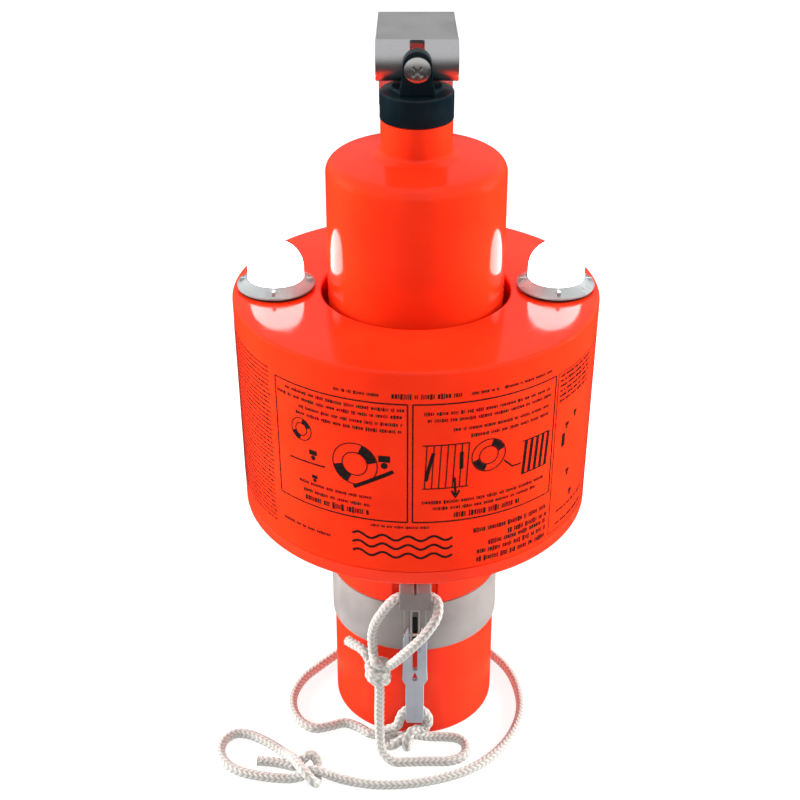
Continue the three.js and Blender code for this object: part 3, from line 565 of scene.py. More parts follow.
# ---- rope ----
# The lanyard's stretches, in metres, as the part lays them between its three knots.
BLOCK_LOOP = [
    (-0.0242, -0.0544, 0.0684), (-0.0246, -0.0532, 0.074), (-0.0248, -0.0529, 0.080),
    (-0.023, -0.0534, 0.089), (-0.019, -0.0544, 0.0975), (-0.0145, -0.0546, 0.1045),
    (-0.0095, -0.0542, 0.1084), (0, -0.0542, 0.1084), (0.0095, -0.0542, 0.1084),
    (0.0126, -0.056, 0.1064), (0.013, -0.0594, 0.102), (0.0115, -0.0624, 0.0986),
    (0.0071, -0.0654, 0.0928), (0.0014, -0.0666, 0.086), (-0.0059, -0.0656, 0.0771),
    (-0.0118, -0.063, 0.0688), (-0.0152, -0.0614, 0.0646),
]
BORE_POINT = 7
DROP = [
    (-0.0208, -0.0588, 0.053), (-0.0206, -0.0594, 0.044), (-0.0208, -0.060, 0.034),
    (-0.0209, -0.0612, 0.024), (-0.0206, -0.0638, 0.014), (-0.0192, -0.0688, 0.0064),
    (-0.0128, -0.0736, 0.0031), (-0.004, -0.0738, 0.0029), (0.004, -0.0734, 0.0029),
    (0.012, -0.0734, 0.0029), (0.020, -0.0732, 0.0029), (0.0276, -0.070, 0.0029),
    (0.031, -0.0636, 0.0029), (0.0298, -0.057, 0.0029), (0.0256, -0.0534, 0.0029),
    (0.0186, -0.0522, 0.003), (0.010, -0.0526, 0.0036), (0.003, -0.0542, 0.006),
]
LEVER_LOOP = [
    (-0.0106, -0.054, 0.013), (-0.0089, -0.0534, 0.0174), (-0.007, -0.052, 0.0212),
    (-0.0036, -0.0513, 0.0234), (0, -0.0512, 0.024), (0.0036, -0.0513, 0.0234),
    (0.007, -0.0522, 0.0206), (0.0084, -0.0536, 0.0166), (0.0056, -0.0558, 0.0126),
]
LONG_RUN = [
    (-0.0096, -0.0516, 0.0032), (-0.0176, -0.050, 0.0029), (-0.0262, -0.0494, 0.0029),
    (-0.0344, -0.043, 0.0029), (-0.0424, -0.0396, 0.0029), (-0.0516, -0.0426, 0.0029),
    (-0.0604, -0.0444, 0.0029), (-0.0682, -0.0396, 0.0029), (-0.074, -0.0292, 0.0029),
    (-0.0754, -0.0148, 0.0029), (-0.070, 0.0016, 0.0029), (-0.0604, 0.0144, 0.0029),
    (-0.0494, 0.027, 0.0029), (-0.036, 0.041, 0.0029), (-0.0186, 0.051, 0.0029),
    (0.001, 0.0544, 0.0029), (0.021, 0.050, 0.0029), (0.0386, 0.0394, 0.0029), (0.0516, 0.0257, 0.0029),
    (0.0602, 0.0114, 0.0029), (0.065, -0.006, 0.0029), (0.066, -0.025, 0.0029),
    (0.0622, -0.042, 0.0029), (0.0554, -0.0564, 0.0029), (0.0454, -0.0696, 0.0029),
    (0.031, -0.081, 0.0029), (0.0131, -0.0884, 0.0029), (-0.005, -0.0922, 0.0029),
    (-0.024, -0.0926, 0.0029), (-0.041, -0.0888, 0.0029), (-0.049, -0.087, 0.0044),
    (-0.0554, -0.0866, 0.0074),
]
END_LOOP = [
    (-0.0724, -0.0752, 0.0074), (-0.075, -0.0702, 0.0046), (-0.0784, -0.0658, 0.0031),
    (-0.0838, -0.0606, 0.0029), (-0.092, -0.0544, 0.0029), (-0.100, -0.050, 0.0029),
    (-0.1078, -0.0492, 0.0029), (-0.1138, -0.0542, 0.0029), (-0.116, -0.0624, 0.0029),
    (-0.1142, -0.0704, 0.0029), (-0.1092, -0.0774, 0.0029), (-0.1016, -0.0824, 0.0029),
    (-0.092, -0.0854, 0.0029), (-0.082, -0.0872, 0.0029), (-0.0724, -0.0878, 0.003),
]
UPPER_TAIL = [
    (-0.022, -0.057, 0.060), (-0.027, -0.051, 0.0616), (-0.0286, -0.050, 0.0646),
    (-0.0324, -0.0454, 0.0656), (-0.0363, -0.0414, 0.065), (-0.0394, -0.037, 0.064),
]
END_TAIL = [
    (-0.064, -0.080, 0.006), (-0.0704, -0.0778, 0.0032), (-0.076, -0.076, 0.0029),
    (-0.084, -0.074, 0.0029), (-0.093, -0.073, 0.0029),
]

# Inside the knots the stretches go on: under the turns of the upper knot, three turns about them, round the
# lever's knot before and after its loop, and over and round the end knot.
THROUGH_UPPER = [(-0.0186, -0.0594, 0.061)]
UPPER_TURNS = [
    (-0.0226, -0.061, 0.0664), (-0.0178, -0.0606, 0.0644), (-0.0174, -0.0556, 0.0626),
    (-0.022, -0.0534, 0.0616), (-0.0266, -0.0572, 0.0612), (-0.023, -0.0624, 0.060),
    (-0.0178, -0.061, 0.0582), (-0.0172, -0.056, 0.0566), (-0.0214, -0.0534, 0.0558),
    (-0.0264, -0.057, 0.0556), (-0.0232, -0.062, 0.0544), (-0.0178, -0.0614, 0.0534),
    (-0.0168, -0.056, 0.053), (-0.0206, -0.052, 0.0534), (-0.0252, -0.050, 0.057),
]
INTO_LEVER_KNOT = [
    (-0.0036, -0.0564, 0.0086), (-0.0096, -0.060, 0.006), (-0.0144, -0.0608, 0.0036),
    (-0.018, -0.0574, 0.005), (-0.017, -0.0536, 0.0088),
]
OUT_OF_LEVER_KNOT = [
    (0.0022, -0.057, 0.0132), (-0.0018, -0.0596, 0.0134), (-0.0042, -0.0626, 0.010),
    (-0.0048, -0.0634, 0.006), (-0.004, -0.0608, 0.0031), (-0.0042, -0.0552, 0.0029),
]
OVER_END_KNOT = [(-0.060, -0.0866, 0.0078), (-0.066, -0.0874, 0.0044)]
ROUND_END_KNOT = [
    (-0.0708, -0.0784, 0.0090), (-0.0676, -0.0844, 0.0100), (-0.0638, -0.090, 0.0096),
    (-0.0596, -0.0932, 0.0064), (-0.0574, -0.0916, 0.0029), (-0.0574, -0.086, 0.0029),
    (-0.0566, -0.0796, 0.0034), (-0.0582, -0.075, 0.0064), (-0.062, -0.0738, 0.0086),
    (-0.066, -0.0756, 0.0062),
]
MAIN_ROUTE = [
    *BLOCK_LOOP[BORE_POINT:], *THROUGH_UPPER, *DROP, *INTO_LEVER_KNOT, *LEVER_LOOP, *OUT_OF_LEVER_KNOT,
    *LONG_RUN, *OVER_END_KNOT, *reversed(END_LOOP), *ROUND_END_KNOT, *END_TAIL[1:],
]
RETURN_ROUTE = [*reversed(BLOCK_LOOP[:BORE_POINT + 1]), *UPPER_TURNS, *UPPER_TAIL[1:]]


def weighed(p, q, start, end, at):
    """The point on the line through p and q, which belong to start and end, that belongs to at."""
    return ((end - at) * p + (at - start) * q) / (end - start)


def smooth_path(points, spacing):
    """A centripetal Catmull-Rom line through the points, in steps of equal length."""
    samples = 24
    corners = [np.array(p, float) for p in points]
    ends = [2 * corners[0] - corners[1], *corners, 2 * corners[-1] - corners[-2]]
    dense = []
    for a, b, c, d in zip(ends, ends[1:], ends[2:], ends[3:]):
        ta, tb, tc, td = np.cumsum([0] + [np.linalg.norm(q - p) ** 0.5 for p, q in ((a, b), (b, c), (c, d))])
        for t in np.linspace(tb, tc, samples, endpoint=False):
            ab = weighed(a, b, ta, tb, t)
            bc = weighed(b, c, tb, tc, t)
            cd = weighed(c, d, tc, td, t)
            dense.append(weighed(weighed(ab, bc, ta, tc, t), weighed(bc, cd, tb, td, t), tb, tc, t))
    dense = np.array([*dense, corners[-1]])
    travelled = np.concatenate([[0], np.cumsum(np.linalg.norm(np.diff(dense, axis=0), axis=1))])
    stops = np.linspace(0, travelled[-1], int(travelled[-1] / spacing) + 1)
    return np.stack([np.interp(stops, travelled, dense[:, k]) for k in range(3)], axis=1), travelled[-1]


def carried_frames(path):
    """Two directions across the path at each point, carried along it without twisting."""
    tangents = np.gradient(path, axis=0)
    tangents /= np.linalg.norm(tangents, axis=1)[:, None]
    side = np.cross(tangents[0], (0, 0, 1))
    side /= np.linalg.norm(side)
    sides = []
    for tangent in tangents:
        side = side - tangent * side.dot(tangent)
        side /= np.linalg.norm(side)
        sides.append(side)
    sides = np.array(sides)
    return tangents, sides, np.cross(tangents, sides)


def strand_height(along, turn):
    """How far the braid stands up, 0 to 1: slanting strands that make a V where two columns meet."""
    column = turn * ROPE_COLUMNS
    across = column % 1 - 0.5
    lean = np.where(np.floor(column) % 2 == 0, 1, -1)
    slant, fullness, seam_depth, seam_sharpness = 0.72, 0.8, 0.75, 5
    wave = 0.5 + 0.5 * np.cos(2 * np.pi * (along / ROPE_STITCH + slant * lean * across))
    return wave ** fullness * (1 - seam_depth * np.abs(2 * across) ** seam_sharpness)


def rope(name, route, nodes):
    """A braided rope along a route, with a slightly frayed cut at its far end."""
    spacing = 0.0005
    around = 6 * ROPE_COLUMNS
    pile = 0.00005                          # fibres beyond the rope's diameter
    relief = 0.00032                        # depth of the grooves between strands
    fray_length, fray_depth, tufts = 0.0025, 0.0003, 11
    end_bulge = 0.0004
    path, length = smooth_path(route, spacing)
    tangents, sides, ups = carried_frames(path)
    along = np.linspace(0, length, len(path))[:, None]
    turn = (np.arange(around) / around)[None, :]
    height = strand_height(along, turn)
    fray = np.clip((along - length + fray_length) / fray_length, 0, 1) * fray_depth
    radius = ROPE_DIAMETER / 2 + pile - relief * (1 - height) + fray * np.sin(turn * 2 * np.pi * tufts)
    cosine, sine = np.cos(2 * np.pi * turn), np.sin(2 * np.pi * turn)
    ring = sides[:, None, :] * (radius * cosine)[..., None] + ups[:, None, :] * (radius * sine)[..., None]
    vertices = (path[:, None, :] + ring).reshape(-1, 3)
    caps = [path[0], path[-1] + tangents[-1] * end_bulge]
    index = np.arange(len(path) * around).reshape(len(path), around)
    low, high = index[:-1], index[1:]
    corners = [low, np.roll(low, -1, 1), np.roll(high, -1, 1), high]
    quads = np.stack(corners, axis=-1).reshape(-1, 4).tolist()
    start, end = len(vertices), len(vertices) + 1
    fans = [(index[0][(k + 1) % around], index[0][k], start) for k in range(around)]
    fans += [(index[-1][k], index[-1][(k + 1) % around], end) for k in range(around)]
    mesh = mesh_of([*vertices, *caps], quads + [tuple(int(i) for i in fan) for fan in fans])
    made = piece(name, mesh, ROPE, "signal", nodes, crease=70, scale=1)
    # The rope's material paints shade into the grooves where this height is low.
    shade = made.data.attributes.new("strand_height", "FLOAT", "POINT")
    values = np.zeros(len(made.data.vertices), np.float32)
    values[:height.size] = height.reshape(-1)
    shade.data.foreach_set("value", values)


# ---- canister, float and base ----
def canister():
    outside = [
        (TUBE_RADIUS, JOINT, 0.4), (TUBE_RADIUS, CANISTER_TOP + 0.1, 7.2), (24, CANISTER_TOP + 3.1, 8),
        (NECK_RADIUS, CANISTER_TOP + 5.4, 2.4), (NECK_RADIUS, NECK_TOP, 0.5),
        (SPIGOT_RADIUS, NECK_TOP, 0.2), (SPIGOT_RADIUS, SPIGOT_TOP, 0.8),
    ]
    inside = [
        (NECK_BORE, SPIGOT_TOP, 0.6), (NECK_BORE, CANISTER_TOP, 1), (39.5, CANISTER_TOP - 4, 2),
        (TUBE_INNER, CANISTER_TOP - 9, 2), (TUBE_INNER, JOINT, 0.2),
    ]
    shell = turned(rounded(outside + inside, 8), 192)
    lead_height = 161
    leads = rod(2.6, (-TUBE_RADIUS - 2, 0, lead_height), (TUBE_RADIUS + 2, 0, lead_height), 24)
    piece("canister_shell", cut(shell, leads), ORANGE, "signal", ["smoke_canister"])


def float_shell():
    tube_outside = FLOAT_HOLE + FLOAT_WALL
    ceiling = FLOAT_TOP - FLOAT_WALL
    lamp_hole = 15.3
    profile = [
        (FLOAT_BASE_RADIUS, FLOAT_SEAM, 0.5), (FLOAT_RADIUS, FLOAT_TOP, FLOAT_SHOULDER),
        (FLOAT_HOLE, FLOAT_TOP, 1.8), (FLOAT_HOLE, INNER_TUBE_END, 0.5), (tube_outside, INNER_TUBE_END, 0.5),
        (tube_outside, ceiling, 1), (FLOAT_RADIUS - FLOAT_WALL, ceiling, 3.4),
        (FLOAT_BASE_RADIUS - FLOAT_WALL, FLOAT_SEAM, 0.3),
    ]
    shell = turned(rounded(profile, 8), 256)
    for x in (-LAMP_OFFSET, LAMP_OFFSET):
        shell = cut(shell, rod(lamp_hole, (x, 0, FLOAT_TOP - 6), (x, 0, FLOAT_TOP + 2), 64, 0))
    piece("float_upper_shell", shell, ORANGE, "signal", ["float_shell"])


def float_underside():
    seam = FLOAT_SEAM - 0.3
    lip = FLOAT_BASE_RADIUS - FLOAT_WALL - 0.3
    lip_inside = lip - 2.4
    lip_top = seam + 5
    floor = UNDERSIDE_BOTTOM + FLOAT_WALL
    bore = TUBE_RADIUS + 0.3
    profile = [
        (bore, COLLAR_BOTTOM, 0.2), (COLLAR_RADIUS, COLLAR_BOTTOM, 0.5),
        (COLLAR_RADIUS, UNDERSIDE_BOTTOM, 11), (FLOAT_BASE_RADIUS, UNDERSIDE_BOTTOM, 9),
        (FLOAT_BASE_RADIUS, seam, 0.5), (lip, seam, 0), (lip, lip_top, 0.4), (lip_inside, lip_top, 0.4),
        (lip_inside, floor, 3), (bore, floor, 0.3),
    ]
    shell = turned(rounded(profile, 10), 256)
    depth = (-COLLAR_RADIUS - 9, -TUBE_RADIUS + 4)
    notch = cuboid((-NOTCH_HALF, NOTCH_HALF), depth, (COLLAR_BOTTOM - 5, NOTCH_TOP))
    shell = cut(shell, bevelled(notch, 1.2, 4))
    piece("float_lower_shell", shell, BASE_ORANGE, "signal", ["float_underside"])


def base_cup():
    """A cup whose thin upper part, with a groove for the O-ring, goes up into the canister."""
    spigot = 45.1
    spigot_top = 95
    joint = JOINT - 0.3
    groove_low, groove_high = joint + 4.4, joint + 6
    floor = 3
    profile = [
        (0, 0, 0), (TUBE_RADIUS, 0, 4.2), (TUBE_RADIUS, joint, 0.4), (spigot, joint, 0.2),
        (spigot, groove_low, 0.1), (spigot - 1.2, groove_low, 0.1), (spigot - 1.2, groove_high, 0.1),
        (spigot, groove_high, 0.1), (spigot, spigot_top, 0.6), (spigot - 2.5, spigot_top, 0.4),
        (spigot - 2.5, joint - 3, 1), (TUBE_INNER, joint - 6, 1), (TUBE_INNER, floor, 2), (0, floor, 0),
    ]
    cup = turned(rounded(profile, 8, closed=False), 192)
    piece("battery_cup", cup, BASE_ORANGE, "signal", ["base_cup"])


def clamp_band():
    """The grey band, which ends a little under the collar so that a dark line shows between them."""
    inner, outer = TUBE_RADIUS + 0.3, BAND_HIGH.x
    bottom, top = BAND_LOW.z, BAND_HIGH.z - 0.7
    profile = [(inner, bottom, 0.1), (outer, bottom, 0.45), (outer, top, 0.3), (inner, top, 0.1)]
    piece("band", turned(rounded(profile, 5), 192), GREY, "signal", ["clamp_band"])


# ---- lamps ----
def lamp(name, x):
    """A clear flange with four ribs, and the lit dome that stands on it; one moulding in the frame."""
    seat = FLOAT_TOP + 1.5
    dome_foot = seat + 4.9
    flange_top = dome_foot - 0.05
    tail_end = LENS_LOW.z
    dome_inside = DOME_RADIUS - 2
    outer = arc(DOME_RADIUS, 0, DOME_CENTRE, 0, 90, 24)
    inner = arc(dome_inside, 0, DOME_CENTRE, 90, 0, 24)
    outer[-1].x = inner[0].x = 0
    foot = [Vector((dome_inside, dome_foot)), Vector((DOME_RADIUS, dome_foot))]
    dome = turned([*inner[1:], *foot, *outer, inner[0]][::-1], 96, x)
    flange_profile = [
        (DOME_RADIUS - 0.4, tail_end, 0.3), (DOME_RADIUS - 0.4, seat, 0.1), (FLANGE_RADIUS, seat, 0.25),
        (FLANGE_RADIUS, seat + 1, 0.3), (DOME_RADIUS + 1, seat + 3.9, 0.6), (DOME_RADIUS, flange_top, 0.3),
        (dome_inside, flange_top, 0.2), (dome_inside, tail_end, 0.2),
    ]
    flange = turned(rounded(flange_profile, 4), 96, x)
    for quarter in range(4):
        rib = cuboid((DOME_RADIUS - 1, FLANGE_RADIUS - 1.4), (-1, 1), (seat + 0.6, seat + 4.1))
        rib = bevelled(rib, 0.35)
        rib.transform(Matrix.Translation((x, 0, 0)) @ Matrix.Rotation(quarter * math.pi / 2, 4, "Z"))
        flange = combined(flange, rib, "UNION")
    node = f"lamp_lens_{name}"
    piece(f"lamp_dome_{name}", dome, DOME, "signal", [node])
    piece(f"lamp_flange_{name}", flange, FLANGE, "signal", [node])
    low, high = cad(f"lamp_gasket_{name}")
    gasket_inside, gasket_outside = DOME_RADIUS + 0.2, (high.x - low.x) / 2
    gasket_profile = [
        (gasket_inside, low.z, 0.2), (gasket_outside, low.z, 0.3), (gasket_outside, high.z, 0.3),
        (gasket_inside, high.z, 0.2),
    ]
    gasket = turned(rounded(gasket_profile, 4), 96, x)
    piece(f"gasket_{name}", gasket, RUBBER, "signal", [f"lamp_gasket_{name}"])


# ---- release lever ----
def mirrored(half):
    """Half an outline, from bottom to top, completed by its mirror image in X."""
    return half + [(-x, z, *rest) for x, z, *rest in reversed(half)]


def rope_block():
    """A block with a cross bore for the rope and a V notch in its top edge."""
    half, bottom, top = BLOCK_HIGH.x, BLOCK_LOW.z, BLOCK_HIGH.z
    notch = 1.4
    outline = [
        (-half, bottom, 0.6), (half, bottom, 0.6), (half, top, 1.2), (notch, top, 0.2), (0, top - notch, 0.1),
        (-notch, top, 0.2), (-half, top, 1.2),
    ]
    block = plate([rounded(outline, 4)], BLOCK_LOW.y, BLOCK_HIGH.y, 0.5)
    bore = rod(3.5, (-half - 2, BORE_Y, BORE_Z), (half + 2, BORE_Y, BORE_Z), 48, 0)
    piece("lanyard_block", cut(block, bore), BLOCK_GREY, "signal", ["rope_block"])


def lever_housing():
    """Base plate, two cheeks either side of the slot, and the bridge that joins them under the block."""
    face = -51.7
    half = 6.4
    slot, cheek = 1.6, 2.8
    bottom, top = HOUSING_LOW.z, HOUSING_HIGH.z
    foot, bridge = bottom + 6, top - 1.4
    base_outline = [(-half, bottom, 0.8), (half, bottom, 0.8), (half, top, 0.3), (-half, top, 0.3)]
    base = plate([rounded(base_outline)], face, HOUSING_HIGH.y, 0.4)
    cheek_outline = [
        (-cheek, foot, 0.4), (-slot, foot, 0.3), (-slot, bridge, 0.2), (slot, bridge, 0.2), (slot, foot, 0.3),
        (cheek, foot, 0.4), (cheek, top, 0.3), (-cheek, top, 0.3),
    ]
    cheeks = plate([rounded(cheek_outline, 3)], HOUSING_LOW.y, face + 0.5, 0.25)
    housing = cut(combined(base, cheeks, "UNION"), pin_hole(1.5))
    piece("lever_cheeks", housing, GREY, "signal", ["lever_housing"])


def pin_hole(radius):
    """A cutting tool along the lever's pin."""
    reach = 10
    return rod(radius, (-reach, PIVOT.y, PIVOT.z), (reach, PIVOT.y, PIVOT.z), 24, 0)


def release_lever():
    """Fork over the cheeks, shoulder, and narrow tail with a fine groove; a small hole under the slot."""
    bottom, top = LEVER_LOW.z, LEVER_HIGH.z
    half = [
        (4.6, bottom, 0.8), (5.35, bottom + 3, 2), (5.4, 47.4, 1.5), (7.45, 51, 1.5), (7.1, 60, 2),
        (7, 81, 1), (4.4, top, 0.4), (3.2, top, 0.2), (3.2, 72.6, 0.8), (1.4, 71, 0.5), (1.4, 58.2, 1.2),
    ]
    drop = mirrored([(1.3, 50.6, 1.2), (1.5, 52.4, 0.8), (0.9, 54.4, 0.6), (0.25, 56.4, 0.1)])
    lever = plate([rounded(mirrored(half), 4), rounded(drop, 3)], LEVER_LOW.y, LEVER_HIGH.y, 0.5)
    groove = cuboid((-0.25, 0.25), (LEVER_LOW.y - 1, LEVER_LOW.y + 0.25), (bottom + 3, 47))
    lever = cut(lever, pin_hole(1.25), groove)
    piece("lever_blade", lever, LEVER_GREY, "lever", ["release_lever"])
    pin = rod(1.2, (PIN_LOW.x, PIVOT.y, PIVOT.z), (PIN_HIGH.x, PIVOT.y, PIVOT.z), 24, 0.3)
    piece("pivot_pin", pin, POLISHED, "signal", ["lever_pin"])


def return_spring():
    """A bowed leaf of blackened steel between the cheeks, its crest against the pin."""
    thickness = 0.6
    foot = -51.8
    crest = PIVOT.y + 1.3
    low, high = PIVOT.z - 9, PIVOT.z + 9
    section = [
        (foot, low), (foot - thickness, low), (crest, PIVOT.z), (foot - thickness, high), (foot, high),
        (crest + thickness, PIVOT.z),
    ]
    leaf = plate([section], -1.2, 1.2, 0)
    leaf.transform(Matrix.Rotation(math.pi / 2, 4, "Z"))
    piece("spring_leaf", leaf, BLACK, "signal", ["lever_spring"])


# ---- cap and hanger ----
def pull_off_cap():
    """Turned cap with a boss, and on it the lug: an arch with a hole through it for the screw."""
    bore, ceiling = 17.25, SPIGOT_TOP + 1.8
    profile = [
        (0, BOSS_TOP, 0), (13, BOSS_TOP, 0.7), (13.4, CAP_RIM + 2, 0.8), (CAP_RADIUS, CAP_RIM + 1, 1.3),
        (CAP_RADIUS, CAP_LOW.z, 0.5), (bore, CAP_LOW.z, 0.2), (bore, ceiling, 0.5), (0, ceiling, 0),
    ]
    body = turned(rounded(profile, 6, closed=False), 128)
    arch = arc(LUG_HALF, 0, LUG_CENTRE, 0, 180, 32)
    spread = LUG_HALF + 1.6
    foot = [(spread, BOSS_TOP - 2), (spread, BOSS_TOP + 0.6), (LUG_HALF + 0.5, BOSS_TOP + 4.5)]
    outline = [Vector(p) for p in foot] + arch + [Vector((-x, z)) for x, z in reversed(foot)]
    lug = plate([outline], LUG_FRONT, LUG_BACK, 0.5)
    screw_hole = rod(3.2, (0, LUG_FRONT - 2, SCREW_Z), (0, LUG_BACK + 2, SCREW_Z), 48, 0)
    cap = cut(combined(body, lug, "UNION"), screw_hole)
    piece("cap_body", cap, BLACK, "cap", ["pull_off_cap"])


def cap_screw():
    """Pan head with a cross recess turned 45 degrees, and its shank."""
    face = LUG_FRONT - 0.3
    head_height = face - SCREW_LOW.y
    radius = (SCREW_HIGH.z - SCREW_LOW.z) / 2
    rim = 1.0
    dome = [(0, 0), (radius - 0.2, 0), (radius, 0.25), (radius, rim)]
    for angle in np.radians(range(8, 90, 8)):
        dome.append((radius * math.cos(angle), rim + (head_height - rim) * math.sin(angle)))
    head = turned([*dome, (0, head_height)], 96)
    head.transform(Matrix.Translation((0, face, SCREW_Z)) @ Matrix.Rotation(math.pi / 2, 4, "X"))
    depth = (SCREW_LOW.y - 1, SCREW_LOW.y + 1.7)
    shank = rod(2.9, (0, face - 0.5, SCREW_Z), (0, SCREW_HIGH.y, SCREW_Z), 48, 0.4)
    screw = combined(head, shank, "UNION")
    for quarter in (1, -1):
        bar = cuboid((-0.9, 0.9), depth, (-3.6, 3.6))
        bar.transform(Matrix.Translation((0, 0, SCREW_Z)) @ Matrix.Rotation(quarter * math.pi / 4, 4, "Y"))
        screw = cut(screw, bar)
    piece("pan_head_screw", screw, POLISHED, "cap", ["cap_screw"])


def hanger():
    """One bent strip: front curl, flat top, rear leg; a slot in the curl for the screw."""
    outer, inner = CURL_RADIUS, CURL_RADIUS - STRIP_THICKNESS
    top = HANGER_HIGH.z
    under = top - STRIP_THICKNESS
    leg = HANGER_HIGH.y
    bend = 3
    curl_end = 285
    section = [
        *arc(outer, CURL_Y, CURL_Z, curl_end, 90, 48), Vector((CURL_Y + 1, top)),
        *arc(bend, leg - bend, top - bend, 90, 0, 8),
        Vector((leg, HANGER_LOW.z)), Vector((leg - STRIP_THICKNESS, HANGER_LOW.z)),
        *arc(bend - STRIP_THICKNESS, leg - bend, under - bend + STRIP_THICKNESS, 0, 90, 8),
        Vector((CURL_Y + 1, under)), *arc(inner, CURL_Y, CURL_Z, 90, curl_end, 48),
    ]
    strip = plate([section], -STRIP_HALF, STRIP_HALF, 0.35)
    strip.transform(Matrix.Rotation(math.pi / 2, 4, "Z"))
    # the curl is slightly wider than the top and the leg
    for vertex in strip.vertices:
        if vertex.co.y < CURL_Y + 0.1 and abs(vertex.co.x) > STRIP_HALF - 1:
            vertex.co.x += math.copysign(HANGER_HIGH.x - STRIP_HALF, vertex.co.x)
    slot = bevelled(cuboid((-3.8, 3.8), (CURL_Y - outer - 2, CURL_Y - 1.5), (CURL_Z - 4, top + 2)), 1.2, 4)
    piece("hanger_strip", cut(strip, slot), STEEL, "cap", ["hanger_plate"])


# ---- printed label ----
class Ink:
    """Thin printed marks on the float. Angles are in degrees from the front, towards +X."""

    SUNK = -0.1
    RAISED = 0.12
    PLAIN_WEIGHT = 0.55

    def __init__(self):
        self.vertices = []
        self.faces = []

    @staticmethod
    def across(angle):
        """Distance round the float from the front, for an angle."""
        return math.radians(angle) * FLOAT_RADIUS

    @staticmethod
    def place(point, lift):
        u, z = point
        taper = (FLOAT_RADIUS - FLOAT_BASE_RADIUS) * (z - FLOAT_SEAM) / (FLOAT_TOP - FLOAT_SEAM)
        radius = FLOAT_BASE_RADIUS + taper + lift
        angle = u / FLOAT_RADIUS
        return (radius * math.sin(angle), -radius * math.cos(angle), z)

    def solid(self, rows):
        """A closed strip from rows of (left, right) points."""
        first = len(self.vertices)
        for left, right in rows:
            self.vertices += [self.place(point, self.SUNK) for point in (left, right)]
            self.vertices += [self.place(point, self.RAISED) for point in (right, left)]
        for i in range(len(rows) - 1):
            a, b = first + 4 * i, first + 4 * (i + 1)
            self.faces += [(a + k, a + (k + 1) % 4, b + (k + 1) % 4, b + k) for k in range(4)]
        last = first + 4 * (len(rows) - 1)
        self.faces += [(first + 3, first + 2, first + 1, first), (last, last + 1, last + 2, last + 3)]

    def line(self, points, width):
        """A stroke of even width through (across, height) points in millimetres."""
        dense = [Vector(points[0])]
        for a, b in zip(points, points[1:]):
            steps = max(1, round((Vector(b) - Vector(a)).length / 3))
            dense += [Vector(a).lerp(Vector(b), (k + 1) / steps) for k in range(steps)]
        rows = []
        for i, point in enumerate(dense):
            along = (dense[min(i + 1, len(dense) - 1)] - dense[max(i - 1, 0)]).normalized()
            side = Vector((-along.y, along.x)) * width / 2
            rows.append((point + side, point - side))
        self.solid(rows)

    def stroke(self, width, *places):
        """A stroke of even width through (angle, height) places."""
        self.line([(self.across(angle), z) for angle, z in places], width)

    def bar(self, start, end, z, height):
        """A level bar from one angle to another."""
        self.stroke(height, (start, z), (end, z))

    def ring(self, angle, z, radius, width, start=0, end=360):
        steps = max(3, round(abs(end - start) / 15))
        centre = self.across(angle)
        self.line([(centre + p.x, z + p.y) for p in arc(radius, 0, 0, start, end, steps)], width)

    def dot(self, angle, z, radius):
        self.ring(angle, z, radius / 2, radius)

    def frame(self, left, right, low, high, width):
        """A box drawn as four lines."""
        self.bar(left, right, low, width)
        self.bar(left, right, high, width)
        for angle in (left, right):
            self.stroke(width, (angle, low), (angle, high))

    def words(self, start, end, z, height, weight=PLAIN_WEIGHT):
        """A row that reads as small print from afar: short strokes in word-like groups, no letters."""
        widths, heights = (0.45, 0.45, 0.75, 1.0), (1.0, 0.7, 0.7, 0.8)
        stroke_gap, word_gap = 0.22, 0.5
        u, stop = self.across(start), self.across(end)
        while u < stop - 0.5:
            for _ in range(random.randint(2, 8)):
                width = random.choice(widths) * height * 0.5
                if u + width > stop:
                    break
                tall = random.choice(heights) * height
                self.line([(u, z), (u + width, z)], tall * weight / self.PLAIN_WEIGHT)
                u += width + height * stroke_gap
            u += height * word_gap


def lifebuoy(ink, angle, z, radius, patch):
    """A ring buoy: fine inner and outer circles with dark patches between them."""
    inner = radius * 0.56
    ink.ring(angle, z, radius, 0.55)
    ink.ring(angle, z, inner, 0.55)
    for start in patch:
        ink.ring(angle, z, (radius + inner) / 2, radius - inner - 0.8, start, start + 62)


def person(ink, angle, z, size):
    """A plain bust: round head and broad shoulders."""
    ink.dot(angle, z - 0.3 * size, 0.2 * size)
    centre, half, level = ink.across(angle), 0.34 * size, z + 0.15 * size
    ink.line([(centre - half, level), (centre + half, level)], 0.42 * size)


def waves(ink, start, end, z):
    """A level run of waves between two angles."""
    left, right = ink.across(start), ink.across(end)
    count, steps = 4, 48
    points = []
    for k in range(steps + 1):
        share = k / steps
        points.append((left + (right - left) * share, z + 1.5 * math.sin(2 * math.pi * count * share)))
    ink.line(points, 1.3)


